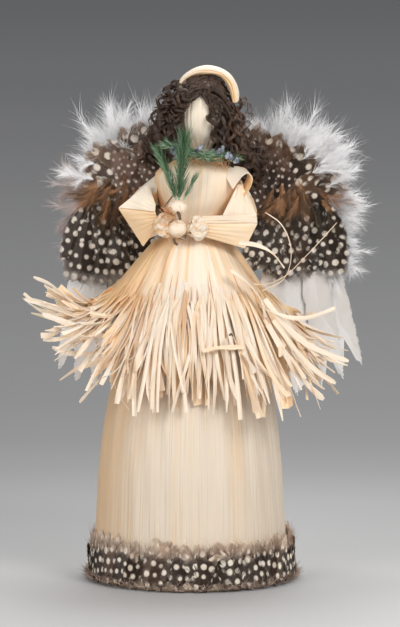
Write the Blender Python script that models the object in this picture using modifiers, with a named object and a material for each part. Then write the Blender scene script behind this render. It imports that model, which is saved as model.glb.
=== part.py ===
"""Corn husk angel doll, standing on the hem of a bell skirt.

Metres, +Z up. The origin is at the middle of the hem, on the surface it stands on.
The doll faces -Y, and +X is to the viewer's right.
"""

import math

import bmesh
import bpy
from mathutils import Matrix, Vector

# Fit
GAP = 0.0003
LAP_GAP = 0.0004
OVERRUN = 0.002
MERGE = 0.0001
WELD = 0.00001

# Skirt
SKIRT_HEIGHT = 0.1675
LINING_HEM_RADIUS = 0.0470
LINING_WALL = 0.0014
HUSK_WALL = 0.0006
FOLD_DEPTH = 0.0012
HEM_CLEARANCE = 0.0010
HEM_BAND_HEIGHT = 0.0200
HEM_BAND_WALL = 0.0008

# Peplum, the shredded overskirt
COLLAR_HEIGHT = 0.0090
PEPLUM_DROP = 0.0315
PEPLUM_RADIUS = 0.0335
PEPLUM_WALL = 0.0007
STRIP_REACH = 0.0840
STRIP_TIP_WIDTH = 0.0024

# Torso and bodice
CORE_WAIST_RADIUS = 0.0073
CORE_TAIL = 0.0110
CORE_SLACK = 0.0006
BODICE_HALF_WIDTH = 0.0210
BODICE_HALF_DEPTH = 0.0120
BODICE_HEIGHT = 0.0405
BODICE_TUCK = 0.0050
BODICE_WALL = 0.0006
SHOULDER_SHIFT = 0.0020

# Arms
SHOULDER_DROP = 0.0170
ARM_SIZE = 0.0200
ARM_ROLL_RADIUS = 0.0020
SLEEVE_WALL = 0.0006
CUFF_LENGTH = 0.0042
CUFF_RADIUS = 0.0072
CUFF_WALL = 0.0005
HAND_RADIUS = 0.0043
HAND_FORWARD = 0.0240
HAND_OFFSET = -0.0079
UPPER_HAND_DROP = 0.0233
LOWER_HAND_DROP = 0.0340

# Head
HEAD_SHIFT = 0.0040
HEAD_RADIUS = 0.0110
HEAD_HEIGHT = 0.0372
NECK_RADIUS = 0.0045
NECK_TUCK = 0.0030
HEAD_HUSK_WALL = 0.0006
TIE_RADIUS = 0.0004
TIE_PITCH = 0.0013
HAIR_WALL = 0.0032
BAND_RADIUS = 0.0020
CROWN_SHIFT = 0.0015

# Greenery
FROND_HEIGHT = 0.0440
FROND_WIDTH = 0.0064
FROND_WALL = 0.0008
STEM_WIDTH = 0.0009
GARLAND_RADIUS = 0.0028
NEEDLE_LENGTH = 0.0013
BERRY_RADIUS = 0.0030

# Wings
WING_DROP = 0.0320
WING_SPAN = 0.0860
WING_SHIFT = 0.0040
BACKING_HEIGHT = 0.0300
BACKING_WALL = 0.0010
FEATHER_WALL = 0.0006
FLIGHT_LENGTH = 0.0790
FLIGHT_WIDTH = 0.0155
FLIGHT_CLEARANCE = 0.0056
UPPER_COVERT_REACH = 0.0430
LOWER_COVERT_REACH = 0.0530
MARABOU_REACH = 0.0500
MARABOU_WALL = 0.0014

# Angles and counts
FULL_TURN = math.tau
WING_SWEEP = math.radians(15)
WING_LEAN = math.radians(10)
STRIP_TWIST = math.radians(55)
WAIST_HALF_TURN = math.radians(84)
SIDE_HALF_TURN = math.radians(70)
HAIR_BACK_START = math.radians(114)
HAIR_BACK_TURN = math.radians(132)
HUSK_PANELS = 6
HEM_BANDS = 4
SKIRT_COLUMNS = 48
HEM_TIPS = 12
HEM_ROWS = 3
TORSO_SIDES = 16
BODICE_COLUMNS = 10
BODICE_WAIST_ROWS = 3
SLEEVE_SIDES = 14
CUFF_SIDES = 16
HAND_SIDES = 14
HAND_RINGS = 8
HEAD_SIDES = 14
HEAD_HUSK_SIDES = 16
HAIR_COLUMNS = 9
HAIR_ROWS = 4
FEATHERS = 5
FLIGHT_LAYERS = 3
FAN_ROWS = 3
LOBE_COLUMNS = 4
TIE_LOOPS = 3
TIE_STEPS = 24

# Small shares
SLOPE_STEP_SHARE = 0.02
HEM_EDGE_SHARE = 0.07
STRIP_ROOT_SHARE = 0.9
STRIP_BEND_SHARE = 0.34
SECOND_STRIP_SHARE = 0.10
THIRD_STRIP_SHARE = 0.06
CORE_TAIL_SHARE = 0.8
CUFF_FLAT_SHARE = 0.36
HEAD_MIDDLE_SHARE = 0.6
HEAD_TOP_SHARE = 0.9
HAIR_TOP_SHARE = 0.02
HAIR_RIPPLE_SHARE = 0.03
BARE_STEM_SHARE = 0.14
FROND_BELLY_SHARE = 0.25
NEEDLE_SPAN_SHARE = 1.4
BERRY_DIMPLE_SHARE = 0.86
QUILL_RISE_SHARE = 0.4
# Share and phase of each wave of the pleats, and how often it goes round
PLEAT_SHARES = ((0.33, 9, 0.6), (0.17, 5, 0.0))
# Rows down a strip
STRIP_ROW_SHARES = (0.18, 0.42, 0.7, 1.0)
# Root, point and notch of a needle along its pitch
TOOTH_SHARES = (0.15, 0.80, 0.84)

# Height share, flare share from the waist to the hem
SKIRT_SHARES = (
    (0.00, 1.00), (0.12, 0.92), (0.36, 0.86), (0.58, 0.73), (0.76, 0.52), (0.90, 0.30), (1.00, 0.00),
)
# Drop share, spread share from the collar to the slits
PEPLUM_SHARES = ((0.00, 0.00), (0.18, 0.00), (0.23, 0.26), (0.37, 0.45), (0.63, 0.71), (1.00, 1.00))
# Turn from the front in degrees, reach share, tip height share of the slits' height
STRIP_SHARES = (
    (-180, 0.51, 0.70), (-150, 0.51, 0.70), (-127, 0.53, 0.69), (-118, 0.66, 0.75), (-108, 0.78, 0.84),
    (-98, 0.95, 0.93), (-86, 1.00, 1.00), (-75, 0.92, 0.90), (-60, 0.90, 0.77), (-45, 0.82, 0.66),
    (-30, 0.69, 0.60), (-15, 0.60, 0.56), (0, 0.57, 0.55), (15, 0.60, 0.56), (30, 0.69, 0.58),
    (45, 0.82, 0.58), (60, 0.89, 0.63), (75, 0.87, 0.70), (90, 0.91, 0.76), (100, 0.86, 0.80),
    (110, 0.72, 0.78), (118, 0.62, 0.73), (127, 0.53, 0.69), (150, 0.51, 0.70), (180, 0.51, 0.70),
)
# Height share above the waist tuck, width share, depth share, shift share
BODICE_SHARES = (
    (0.08, 0.52, 0.80, 0.1), (0.24, 0.73, 0.93, 0.4), (0.42, 0.90, 1.00, 0.8), (0.62, 1.00, 0.97, 1.0),
    (0.77, 0.97, 0.84, 1.2), (0.88, 0.67, 0.66, 1.4),
)
# Sleeve rings from the shoulder to the wrist: inner end out and up, outer end out and up,
# forward, half depth
LEFT_SLEEVE_SHARES = (
    (0.000, -0.420, 0.050, 0.400, -0.02, 0.30), (0.125, -0.425, 0.525, 0.025, 0.10, 0.275),
    (0.250, -0.450, 0.875, -0.375, 0.25, 0.25), (0.235, -0.475, 0.750, -0.875, 0.425, 0.23),
    (0.140, -0.465, 0.375, -1.325, 0.675, 0.21), (-0.125, -0.455, -0.125, -1.115, 0.925, 0.19),
)
RIGHT_SLEEVE_SHARES = (
    (0.000, -0.425, 0.040, 0.400, -0.02, 0.30), (0.065, -0.475, 0.375, -0.125, 0.10, 0.275),
    (0.085, -0.570, 0.515, -0.510, 0.25, 0.25), (0.070, -0.610, 0.450, -0.960, 0.40, 0.23),
    (-0.035, -0.620, 0.065, -1.410, 0.60, 0.22), (-0.385, -0.600, -0.385, -1.355, 0.825, 0.21),
    (-0.910, -0.605, -0.910, -1.105, 0.975, 0.19),
)
# Distance share along the cuff, radius share, pleat depth share
CUFF_SHARES = ((0.00, 0.42, 0.00), (0.50, 0.72, 0.10), (1.00, 1.00, 0.16))
# Height share from the neck, radius share
HEAD_SHARES = (
    (1.00, 0.00), (0.975, 0.42), (0.89, 0.77), (0.74, 0.96), (0.58, 1.00), (0.42, 0.90), (0.28, 0.66),
)
NECK_SHARE = 0.17
# Height share of the head above its middle, radius share
CROWN_OUTER_SHARES = ((0.575, 0.00), (0.55, 0.42), (0.49, 0.76), (0.40, 0.98), (0.27, 1.14))
CROWN_INNER_SHARES = ((0.27, 0.97), (0.34, 0.84), (0.40, 0.62), (0.44, 0.34), (0.455, 0.00))
# Sideways, backward, up and radius shares of the head's height, from the head's middle
LEFT_HAIR_SHARES = (
    (0.435, -0.02, 0.235, 0.110), (0.460, -0.04, 0.150, 0.150), (0.490, -0.05, 0.060, 0.150),
    (0.520, -0.05, -0.030, 0.180), (0.530, -0.05, -0.130, 0.165), (0.550, -0.05, -0.230, 0.185),
    (0.575, -0.05, -0.330, 0.150), (0.600, -0.05, -0.430, 0.150), (0.620, -0.05, -0.530, 0.115),
    (0.630, -0.05, -0.620, 0.100),
)
RIGHT_HAIR_SHARES = (
    (0.435, -0.02, 0.235, 0.110), (0.470, -0.04, 0.150, 0.150), (0.505, -0.05, 0.060, 0.155),
    (0.540, -0.05, -0.030, 0.185), (0.565, -0.05, -0.130, 0.165), (0.600, -0.05, -0.230, 0.185),
    (0.640, -0.05, -0.330, 0.155), (0.675, -0.05, -0.430, 0.150), (0.700, -0.05, -0.530, 0.120),
    (0.710, -0.05, -0.620, 0.100),
)
# Sideways, up from the neck and forward shares of the bodice's half width
GARLAND_SHARES = (
    (-0.80, 0.30, 0.42), (-0.62, 0.22, 0.50), (-0.40, 0.15, 0.56), (-0.16, 0.09, 0.60), (0.10, 0.05, 0.61),
    (0.36, 0.03, 0.58), (0.60, 0.02, 0.50), (0.80, 0.03, 0.42),
)
# Place along the garland, lean from upright towards the front in degrees
BERRY_SHARES = ((0.22, 20), (0.50, 35), (0.83, 30))
# Fronds: sideways start, lean in degrees, length share, width share, teeth
FROND_SHARES = ((0.00, 2, 1.00, 1.00, 11), (-0.50, -20, 0.62, 0.70, 7), (0.80, 20, 0.34, 0.62, 5))
# Along the feather, width share
FEATHER_SHARES = ((0.00, 0.24), (0.15, 0.72), (0.45, 1.00), (0.78, 0.90), (0.93, 0.58), (1.00, 0.14))
# Root out share of the way from the first flight feather to the span's end, direction in degrees,
# length share
FLIGHT_SHARES = (
    (0.000, -90, 0.97), (0.083, -85, 1.00), (0.184, -79, 0.98), (0.285, -73, 0.92), (0.386, -69, 0.84),
)
# Out share of the span, up share of the backing, for the outline of the backing
BACKING_SHARES = (
    (0.012, -0.15), (0.012, 0.72), (0.20, 0.86), (0.45, 0.72), (0.68, 0.42), (0.72, 0.10), (0.60, -0.20),
    (0.30, -0.28),
)
# Turn in degrees, reach share, of the fluffy fringe behind each wing
MARABOU_SHARES = ((-58, 0.86), (-41, 1.00), (0, 0.90), (42, 0.96), (60, 1.06), (100, 1.02), (122, 1.00))
EVEN_SHARES = ((-180, 1.00), (180, 1.00))
# A fan of feathers: out share of the span, up share of the backing, first and last direction in
# degrees, inner share of the reach, lobes, notch share
UPPER_COVERT_SHARES = (0.395, 0.13, 115, 5, 0.14, 5, 0.14)
LOWER_COVERT_SHARES = (0.51, 0.53, -101, -48, 0.50, 4, 0.12)
FRINGE_SHARES = (0.465, 0.33, 122, -58, 0.24, 8, 0.24)

# Colours, roughness
HUSK_COLOUR = (0.78, 0.64, 0.43)
LINING_COLOUR = (0.66, 0.52, 0.33)
HAIR_COLOUR = (0.035, 0.018, 0.012)
GREEN_COLOUR = (0.035, 0.10, 0.045)
BERRY_COLOUR = (0.13, 0.16, 0.26)
DARK_FEATHER_COLOUR = (0.06, 0.045, 0.035)
WHITE_FEATHER_COLOUR = (0.78, 0.77, 0.73)
THREAD_COLOUR = (0.55, 0.45, 0.32)


def clear_scene():
    for old in list(bpy.data.objects):
        bpy.data.objects.remove(old, do_unlink=True)


def new_collection(name):
    collection = bpy.data.collections.new(name)
    bpy.context.scene.collection.children.link(collection)
    return collection


def new_material(name, colour, roughness):
    material = bpy.data.materials.new(name)
    material.use_nodes = True
    shader = material.node_tree.nodes["Principled BSDF"]
    shader.inputs["Base Color"].default_value = (*colour, 1)
    shader.inputs["Roughness"].default_value = roughness
    shader.inputs["Metallic"].default_value = 0
    return material


def add_object(name, data, material, location=(0, 0, 0), rotation=(0, 0, 0), parent=None):
    obj = bpy.data.objects.new(name, data)
    PARTS.objects.link(obj)
    if material:
        data.materials.append(material)
    obj.location = location
    obj.rotation_euler = rotation
    obj.parent = parent
    return obj


def mesh_of(bm, name):
    mesh = bpy.data.meshes.new(name)
    bm.to_mesh(mesh)
    bm.free()
    mesh.shade_smooth()
    mesh.set_sharp_from_angle(angle=math.radians(40))
    return mesh


def between(table, share):
    """The other columns of a table, read at a share that may lie between its rows."""
    for low, high in zip(table, table[1:]):
        if share <= high[0]:
            part = (share - low[0]) / (high[0] - low[0])
            return [a + (b - a) * part for a, b in zip(low[1:], high[1:])]
    return list(table[-1][1:])


def around(turn, radius, height):
    """A point by its turn from the front, towards the viewer's right."""
    return Vector((radius * math.sin(turn), -radius * math.cos(turn), height))


def grid(columns, rows, place):
    """An open sheet: place takes the column and row of each corner."""
    bm = bmesh.new()
    bmesh.ops.create_grid(bm, x_segments=columns, y_segments=rows, size=1)
    for vert in bm.verts:
        column = round((vert.co.x + 1) / 2 * columns)
        row = round((vert.co.y + 1) / 2 * rows)
        vert.co = place(column, row)
    bm.normal_update()
    return bm


def thicken(obj, wall, side=1):
    """Gives an open sheet its thickness: outwards at side 1, inwards at -1, both ways at 0."""
    solidify = obj.modifiers.new("wall", "SOLIDIFY")
    solidify.thickness = wall
    solidify.offset = side
    solidify.use_even_offset = False
    return obj


def sheet(name, columns, rows, place, wall, material, side=1, **where):
    mesh = mesh_of(grid(columns, rows, place), name)
    return thicken(add_object(name, mesh, material, **where), wall, side)


def turned(name, outline, closed, steps, material, **where):
    """An outline of (radius, height) turned about Z, which runs down the outside first."""
    bm = bmesh.new()
    verts = [bm.verts.new((radius, 0, height)) for radius, height in outline]
    for first, second in zip(verts, verts[1:]):
        bm.edges.new((first, second))
    if closed:
        bm.edges.new((verts[-1], verts[0]))
    obj = add_object(name, mesh_of(bm, name), material, **where)
    screw = obj.modifiers.new("turn", "SCREW")
    screw.steps = steps
    screw.render_steps = steps
    screw.use_merge_vertices = True
    screw.merge_threshold = MERGE
    screw.use_smooth_shade = True
    return obj


def tube(name, points, radii, material, sides=2, **where):
    """A round tube through points, with a radius at each."""
    curve = bpy.data.curves.new(name, "CURVE")
    curve.dimensions = "3D"
    curve.bevel_depth = max(radii)
    curve.bevel_resolution = sides
    curve.use_fill_caps = True
    spline = curve.splines.new("POLY")
    spline.points.add(len(points) - 1)
    for spot, point, radius in zip(spline.points, points, radii):
        spot.co = (*point, 1)
        spot.radius = radius / max(radii)
    return add_object(name, curve, material, **where)


def flat_outline(name, points, wall, material, **where):
    """A flat piece cut to an outline in its own XY plane."""
    curve = bpy.data.curves.new(name, "CURVE")
    curve.dimensions = "2D"
    curve.fill_mode = "BOTH"
    curve.extrude = wall / 2
    spline = curve.splines.new("POLY")
    spline.points.add(len(points) - 1)
    for spot, (across, along) in zip(spline.points, points):
        spot.co = (across, along, 0, 1)
    spline.use_cyclic_u = True
    return add_object(name, curve, material, **where)


def loft(name, rings, capped, material):
    """Rings of as many points each, joined in order."""
    bm = bmesh.new()
    loops = []
    for ring in rings:
        verts = [bm.verts.new(point) for point in ring]
        edges = [bm.edges.new((a, b)) for a, b in zip(verts, verts[1:] + verts[:1])]
        loops.append((verts, edges))
    for (_, lower), (_, upper) in zip(loops, loops[1:]):
        bmesh.ops.bridge_loops(bm, edges=lower + upper)
    if capped:
        for verts, _ in (loops[0], loops[-1]):
            bm.faces.new(verts)
    bmesh.ops.recalc_face_normals(bm, faces=bm.faces)
    return add_object(name, mesh_of(bm, name), material)


def as_mesh(obj):
    """A curve object made a mesh object in the same place, with its caps welded."""
    bpy.context.view_layer.update()
    graph = bpy.context.evaluated_depsgraph_get()
    mesh = bpy.data.meshes.new_from_object(obj.evaluated_get(graph))
    bm = bmesh.new()
    bm.from_mesh(mesh)
    bmesh.ops.remove_doubles(bm, verts=bm.verts, dist=WELD)
    bm.to_mesh(mesh)
    bm.free()
    made = bpy.data.objects.new(obj.name + "_mesh", mesh)
    made.matrix_world = obj.matrix_world
    bpy.data.objects.remove(obj, do_unlink=True)
    return made


def as_cutter(obj):
    cutter = as_mesh(obj)
    CUTTERS.objects.link(cutter)
    cutter.hide_render = True
    cutter.display_type = "WIRE"
    return cutter


def cut(obj, cutter):
    boolean = obj.modifiers.new("channel", "BOOLEAN")
    boolean.operation = "DIFFERENCE"
    boolean.solver = "EXACT"
    boolean.object = cutter


# Skirt

def lap_rise(wall, columns_each):
    """How far a sheet climbs along its width, so that its end lies over the next one's start."""
    return (wall + LAP_GAP) * (columns_each + 2) / columns_each


HUSK_RISE = lap_rise(HUSK_WALL, SKIRT_COLUMNS // HUSK_PANELS)
HUSK_STACK = LAP_GAP + HUSK_RISE + HUSK_WALL + FOLD_DEPTH
LINING_WAIST_RADIUS = CORE_WAIST_RADIUS + GAP + LINING_WALL


def lining_radius(share):
    flare = between(SKIRT_SHARES, share)[0]
    return LINING_WAIST_RADIUS + (LINING_HEM_RADIUS - LINING_WAIST_RADIUS) * flare


def off_lining(share, offset):
    """(radius, height) of a point that far outside the lining, square to it."""
    low = max(0, share - SLOPE_STEP_SHARE)
    high = min(1, share + SLOPE_STEP_SHARE)
    rise = (high - low) * SKIRT_HEIGHT
    run = lining_radius(high) - lining_radius(low)
    length = math.hypot(rise, run)
    radius = lining_radius(share) + offset * rise / length
    return radius, share * SKIRT_HEIGHT - offset * run / length


def fold(turn, share):
    """How far the husk's soft pleats stand out, most at the hem."""
    wave = sum(part * (1 + math.cos(times * turn + phase)) for part, times, phase in PLEAT_SHARES)
    return FOLD_DEPTH * (1 - share) * wave


def skirt_lining(material):
    shares = [row[0] for row in reversed(SKIRT_SHARES)]
    outside = [(lining_radius(share), share * SKIRT_HEIGHT) for share in shares]
    inside = [(radius - LINING_WALL, height) for radius, height in reversed(outside)]
    turned("skirt_lining", outside + inside, True, SKIRT_COLUMNS // 2, material)


def skirt_panel(index, material):
    each = SKIRT_COLUMNS // HUSK_PANELS
    start = index * each - 1
    shares = [max(row[0], HEM_CLEARANCE / SKIRT_HEIGHT) for row in SKIRT_SHARES]

    def place(column, row):
        turn = FULL_TURN * (start + column) / SKIRT_COLUMNS
        climb = HUSK_RISE * column / (each + 2)
        share = shares[row]
        return around(turn, *off_lining(share, LAP_GAP + climb + fold(turn, share)))

    sheet(f"skirt_husk_{index + 1}", each + 2, len(shares) - 1, place, HUSK_WALL, material)


def hem_band(index, material):
    each = SKIRT_COLUMNS // HEM_BANDS
    start = index * each + 3
    rise = lap_rise(HEM_BAND_WALL, each)

    def place(column, row):
        turn = FULL_TURN * (start + column) / SKIRT_COLUMNS
        top = HEM_BAND_HEIGHT * (1 - HEM_EDGE_SHARE * (1 - math.cos(HEM_TIPS * turn)))
        height = HEM_CLEARANCE + (top - HEM_CLEARANCE) * row / HEM_ROWS
        offset = HUSK_STACK + GAP + rise * column / (each + 2)
        return around(turn, *off_lining(height / SKIRT_HEIGHT, offset))

    sheet(f"hem_feathers_{index + 1}", each + 2, HEM_ROWS, place, HEM_BAND_WALL, material)


# Peplum

WAIST_HEIGHT = SKIRT_HEIGHT + BODICE_TUCK
BODICE_WAIST_RADIUS = CORE_WAIST_RADIUS + GAP
COLLAR_RADIUS = BODICE_WAIST_RADIUS + BODICE_WALL + GAP
COLLAR_TOP = SKIRT_HEIGHT + COLLAR_HEIGHT
SLIT_HEIGHT = COLLAR_TOP - PEPLUM_DROP


def peplum_point(share):
    spread = between(PEPLUM_SHARES, share)[0]
    radius = COLLAR_RADIUS + (PEPLUM_RADIUS - COLLAR_RADIUS) * spread
    return radius, COLLAR_TOP - PEPLUM_DROP * share


def strip_point(turn, share, longer):
    """(radius, height) along a strip, which leaves the dome and bends to its own tip."""
    reach, height = between(STRIP_SHARES, math.degrees(turn))
    start = Vector(peplum_point(1))
    tip = Vector((STRIP_REACH * reach, SLIT_HEIGHT * height))
    tip = start + (tip - start) * longer
    lean = (start - Vector(peplum_point(PEPLUM_SHARES[-2][0]))).normalized()
    bend = start + lean * (tip - start).length * STRIP_BEND_SHARE
    return start * (1 - share) ** 2 + bend * 2 * share * (1 - share) + tip * share ** 2


def peplum_sector(name, first, count, material):
    """A sector of the dome, whose lower edge runs out in one strip a column."""
    rows = len(PEPLUM_SHARES) - 1

    def edge_turn(column):
        return FULL_TURN * (first + column) / SKIRT_COLUMNS

    def place(column, row):
        turn = edge_turn(column)
        radius, height = peplum_point(PEPLUM_SHARES[rows - row][0])
        side = (column == 0) - (column == count)
        return around(turn + side * GAP / radius, radius, height)

    bm = grid(count, rows, place)
    low = peplum_point(1)[1]
    ends = [edge for edge in bm.edges if all(abs(v.co.z - low) < MERGE for v in edge.verts)]
    for edge in ends:
        middle = (edge.verts[0].co + edge.verts[1].co) / 2
        turn = math.atan2(middle.x, -middle.y)
        column = round((turn * SKIRT_COLUMNS / FULL_TURN) - 0.5)
        longer = 1 - SECOND_STRIP_SHARE * (column % 2) - THIRD_STRIP_SHARE * (column % 3)
        width = (edge.verts[0].co - edge.verts[1].co).length * STRIP_ROOT_SHARE
        leads = max(edge.verts, key=lambda v: math.sin(math.atan2(v.co.x, -v.co.y) - turn))
        across = (leads.co - middle).normalized()
        for share in STRIP_ROW_SHARES:
            made = bmesh.ops.extrude_edge_only(bm, edges=[edge])["geom"]
            verts = [item for item in made if isinstance(item, bmesh.types.BMVert)]
            half = (width + (STRIP_TIP_WIDTH - width) * share ** 2) / 2
            centre = around(turn, *strip_point(turn, share, longer))
            twist = Matrix.Rotation(STRIP_TWIST * share * math.sin(turn), 3, centre - middle)
            for vert in verts:
                side = 1 if (vert.co - middle).dot(across) > 0 else -1
                vert.co = centre + twist @ across * half * side
            middle = centre
            edges = [item for item in made if isinstance(item, bmesh.types.BMEdge)]
            edge = next(item for item in edges if set(item.verts) == set(verts))
    bm.normal_update()
    bmesh.ops.recalc_face_normals(bm, faces=bm.faces)
    top = max(bm.faces, key=lambda face: face.calc_center_median().z)
    if top.normal.dot(top.calc_center_median() * Vector((1, 1, 0))) < 0:
        bmesh.ops.reverse_faces(bm, faces=bm.faces)
    thicken(add_object(name, mesh_of(bm, name), material), PEPLUM_WALL)


# Torso and bodice

NECK_HEIGHT = WAIST_HEIGHT + BODICE_HEIGHT
NECK_OPENING = NECK_RADIUS + GAP * 2 + TIE_RADIUS * 2
SHOULDER_HEIGHT = NECK_HEIGHT - SHOULDER_DROP


def bodice_sections():
    """(height, half width, half depth, middle) from the tuck at the waist to the neck."""
    waist = BODICE_WAIST_RADIUS
    rows = [(SKIRT_HEIGHT + GAP + LINING_WALL, waist, waist, 0), (COLLAR_TOP + GAP, waist, waist, 0)]
    foot = COLLAR_TOP + GAP
    for up, width, depth, shift in BODICE_SHARES:
        height = foot + (NECK_HEIGHT - foot) * up
        rows.append((height, BODICE_HALF_WIDTH * width, BODICE_HALF_DEPTH * depth, SHOULDER_SHIFT * shift))
    rows.append((NECK_HEIGHT, NECK_OPENING, NECK_OPENING, HEAD_SHIFT))
    return rows


def section_at(height):
    return between(bodice_sections(), height)


def torso_core(channel, material):
    rings = []
    tail_radius = CORE_WAIST_RADIUS * CORE_TAIL_SHARE
    tail = (SKIRT_HEIGHT - CORE_TAIL, tail_radius, tail_radius, 0)
    neck_end = NECK_HEIGHT - NECK_TUCK - GAP
    rows = [row for row in bodice_sections()[:-1] if row[0] < neck_end]
    rows.append((neck_end, *section_at(neck_end)))
    for index, (height, width, depth, middle) in enumerate([tail] + rows):
        inset = CORE_SLACK if index else 0
        ring = []
        for step in range(TORSO_SIDES):
            turn = FULL_TURN * step / TORSO_SIDES
            across = middle + (width - inset) * math.sin(turn)
            ring.append((across, -(depth - inset) * math.cos(turn), height))
        rings.append(ring)
    core = loft("torso_core", rings, True, material)
    cut(core, channel)


def bodice_half(name, front, material):
    rows = bodice_sections()

    def place(column, row):
        height, width, depth, middle = rows[row]
        half_turn = WAIST_HALF_TURN if row < BODICE_WAIST_ROWS else SIDE_HALF_TURN
        turn = half_turn * (2 * column / BODICE_COLUMNS - 1)
        if not front:
            turn += math.pi
        return Vector((middle + width * math.sin(turn), -depth * math.cos(turn), height))

    sheet(name, BODICE_COLUMNS, len(rows) - 1, place, BODICE_WALL, material)


# Arms

def side_of_bodice(side):
    widest = max(width + side * middle for _, width, _, middle in bodice_sections())
    return side * (widest + BODICE_WALL + GAP)


def sleeve_frames(side, table):
    """For each ring: its middle, half its long axis, and half its depth axis."""
    origin = Vector((side_of_bodice(side), 0, SHOULDER_HEIGHT))
    frames = []
    for in_out, in_up, out_out, out_up, forward, deep in table:
        inner = Vector((side * in_out, -forward, in_up)) * ARM_SIZE + origin
        outer = Vector((side * out_out, -forward, out_up)) * ARM_SIZE + origin
        frames.append([(inner + outer) / 2, (outer - inner) / 2, deep * ARM_SIZE])
    for index, frame in enumerate(frames):
        before = frames[max(0, index - 1)][0]
        after = frames[min(len(frames) - 1, index + 1)][0]
        travel = after - before
        if index == 0:
            travel.y = 0
        depth_axis = travel.cross(frame[1]).normalized()
        frame[2] = depth_axis * frame[2]
    return frames


def sleeve(name, side, table, material):
    rings = []
    for middle, long_axis, depth_axis in sleeve_frames(side, table):
        ring = []
        for step in range(SLEEVE_SIDES):
            turn = FULL_TURN * step / SLEEVE_SIDES
            ring.append(middle + long_axis * math.cos(turn) + depth_axis * math.sin(turn))
        rings.append(ring)
    thicken(loft(name, rings, False, material), SLEEVE_WALL, -1)


def wrist(side, table):
    """The middle of the sleeve's mouth, and the way the arm leaves it."""
    frames = sleeve_frames(side, table)
    along = ((frames[-1][0] - frames[-2][0]) * Vector((1, 1, 0))).normalized()
    return frames[-1][0], along, frames[-1][1].normalized()


def cuff(name, side, table, material):
    start, along, upward = wrist(side, table)
    sideways = along.cross(upward).normalized()
    upward = sideways.cross(along).normalized()
    rings = []
    for out, wide, pleat in CUFF_SHARES:
        middle = start + along * (SLEEVE_WALL + CUFF_WALL + CUFF_LENGTH * out)
        ring = []
        for step in range(CUFF_SIDES):
            turn = FULL_TURN * step / CUFF_SIDES
            radius = CUFF_RADIUS * wide * (1 - pleat * (step % 2))
            flatter = radius * (1 - CUFF_FLAT_SHARE * out)
            ring.append(middle + upward * radius * math.cos(turn) + sideways * flatter * math.sin(turn))
        rings.append(ring)
    thicken(loft(name, rings, False, material), CUFF_WALL, 0)


def hand_centre(drop):
    return Vector((HAND_OFFSET, -HAND_FORWARD, NECK_HEIGHT - drop))


def arm_route():
    """The one roll of husk that runs from hand to hand through the chest."""
    left = [frame[0] for frame in sleeve_frames(-1, LEFT_SLEEVE_SHARES)]
    right = [frame[0] for frame in sleeve_frames(1, RIGHT_SLEEVE_SHARES)]
    ends = []
    for middles, side, table, drop in (
        (left, -1, LEFT_SLEEVE_SHARES, UPPER_HAND_DROP),
        (right, 1, RIGHT_SLEEVE_SHARES, LOWER_HAND_DROP),
    ):
        start, along, _ = wrist(side, table)
        out = start + along * CUFF_LENGTH
        towards = (hand_centre(drop) - out).normalized()
        ends.append([hand_centre(drop) - towards * (HAND_RADIUS + GAP), out])
    return ends[0] + left[::-1] + right + ends[1][::-1]


def arm_roll(material):
    route = arm_route()
    return tube("arm_roll", route, [ARM_ROLL_RADIUS] * len(route), material)


def arm_channel():
    left = sleeve_frames(-1, LEFT_SLEEVE_SHARES)[0][0]
    right = sleeve_frames(1, RIGHT_SLEEVE_SHARES)[0][0]
    out = (right - left).normalized() * OVERRUN
    bore = ARM_ROLL_RADIUS + GAP * 2
    return as_cutter(tube("arm_channel", [left - out, right + out], [bore, bore], None))


def hand(name, drop, material):
    bm = bmesh.new()
    bmesh.ops.create_uvsphere(bm, u_segments=HAND_SIDES, v_segments=HAND_RINGS, radius=HAND_RADIUS)
    add_object(name, mesh_of(bm, name), material, location=hand_centre(drop))


# Head

HEAD_FOOT = NECK_HEIGHT - NECK_TUCK
HEAD_MIDDLE = HEAD_FOOT + HEAD_HEIGHT * HEAD_MIDDLE_SHARE


def head_outline(inset):
    rows = []
    for up, wide in HEAD_SHARES:
        radius = max(0, HEAD_RADIUS * wide - inset)
        lower = inset if up > HEAD_TOP_SHARE else 0
        rows.append((radius, HEAD_FOOT + HEAD_HEIGHT * up - lower))
    neck_top = HEAD_FOOT + HEAD_HEIGHT * NECK_SHARE
    rows.append((NECK_RADIUS - inset, neck_top))
    rows.append((NECK_RADIUS - inset, HEAD_FOOT))
    return rows


def head_core(material):
    outline = head_outline(HEAD_HUSK_WALL + GAP) + [(0, HEAD_FOOT)]
    turned("head_core", outline, False, HEAD_SIDES, material, location=(HEAD_SHIFT, 0, 0))


def head_husk(material):
    outline = head_outline(0) + head_outline(HEAD_HUSK_WALL)[::-1]
    turned("head_husk", outline, False, HEAD_HUSK_SIDES, material, location=(HEAD_SHIFT, 0, 0))


def crown_outline(table):
    return [(HEAD_RADIUS * wide, HEAD_MIDDLE + HEAD_HEIGHT * up) for up, wide in table]


def hair_crown(material):
    outline = crown_outline(CROWN_OUTER_SHARES + CROWN_INNER_SHARES)
    location = (HEAD_SHIFT + CROWN_SHIFT, 0, 0)
    turned("hair_crown", outline, False, HEAD_SIDES, material, location=location)


def hair_back(material):
    top = HEAD_MIDDLE + HEAD_HEIGHT * (CROWN_OUTER_SHARES[-1][0] - HAIR_TOP_SHARE)
    foot = NECK_HEIGHT + GAP * 2

    def place(column, row):
        turn = HAIR_BACK_START + HAIR_BACK_TURN * column / HAIR_COLUMNS
        height = foot + (top - foot) * row / HAIR_ROWS
        radius = HEAD_RADIUS * (1 + HAIR_RIPPLE_SHARE * (row % 2)) + GAP * 3
        return around(turn, radius, height) + Vector((HEAD_SHIFT, 0, 0))

    sheet("hair_back", HAIR_COLUMNS, HAIR_ROWS, place, HAIR_WALL, material)


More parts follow.
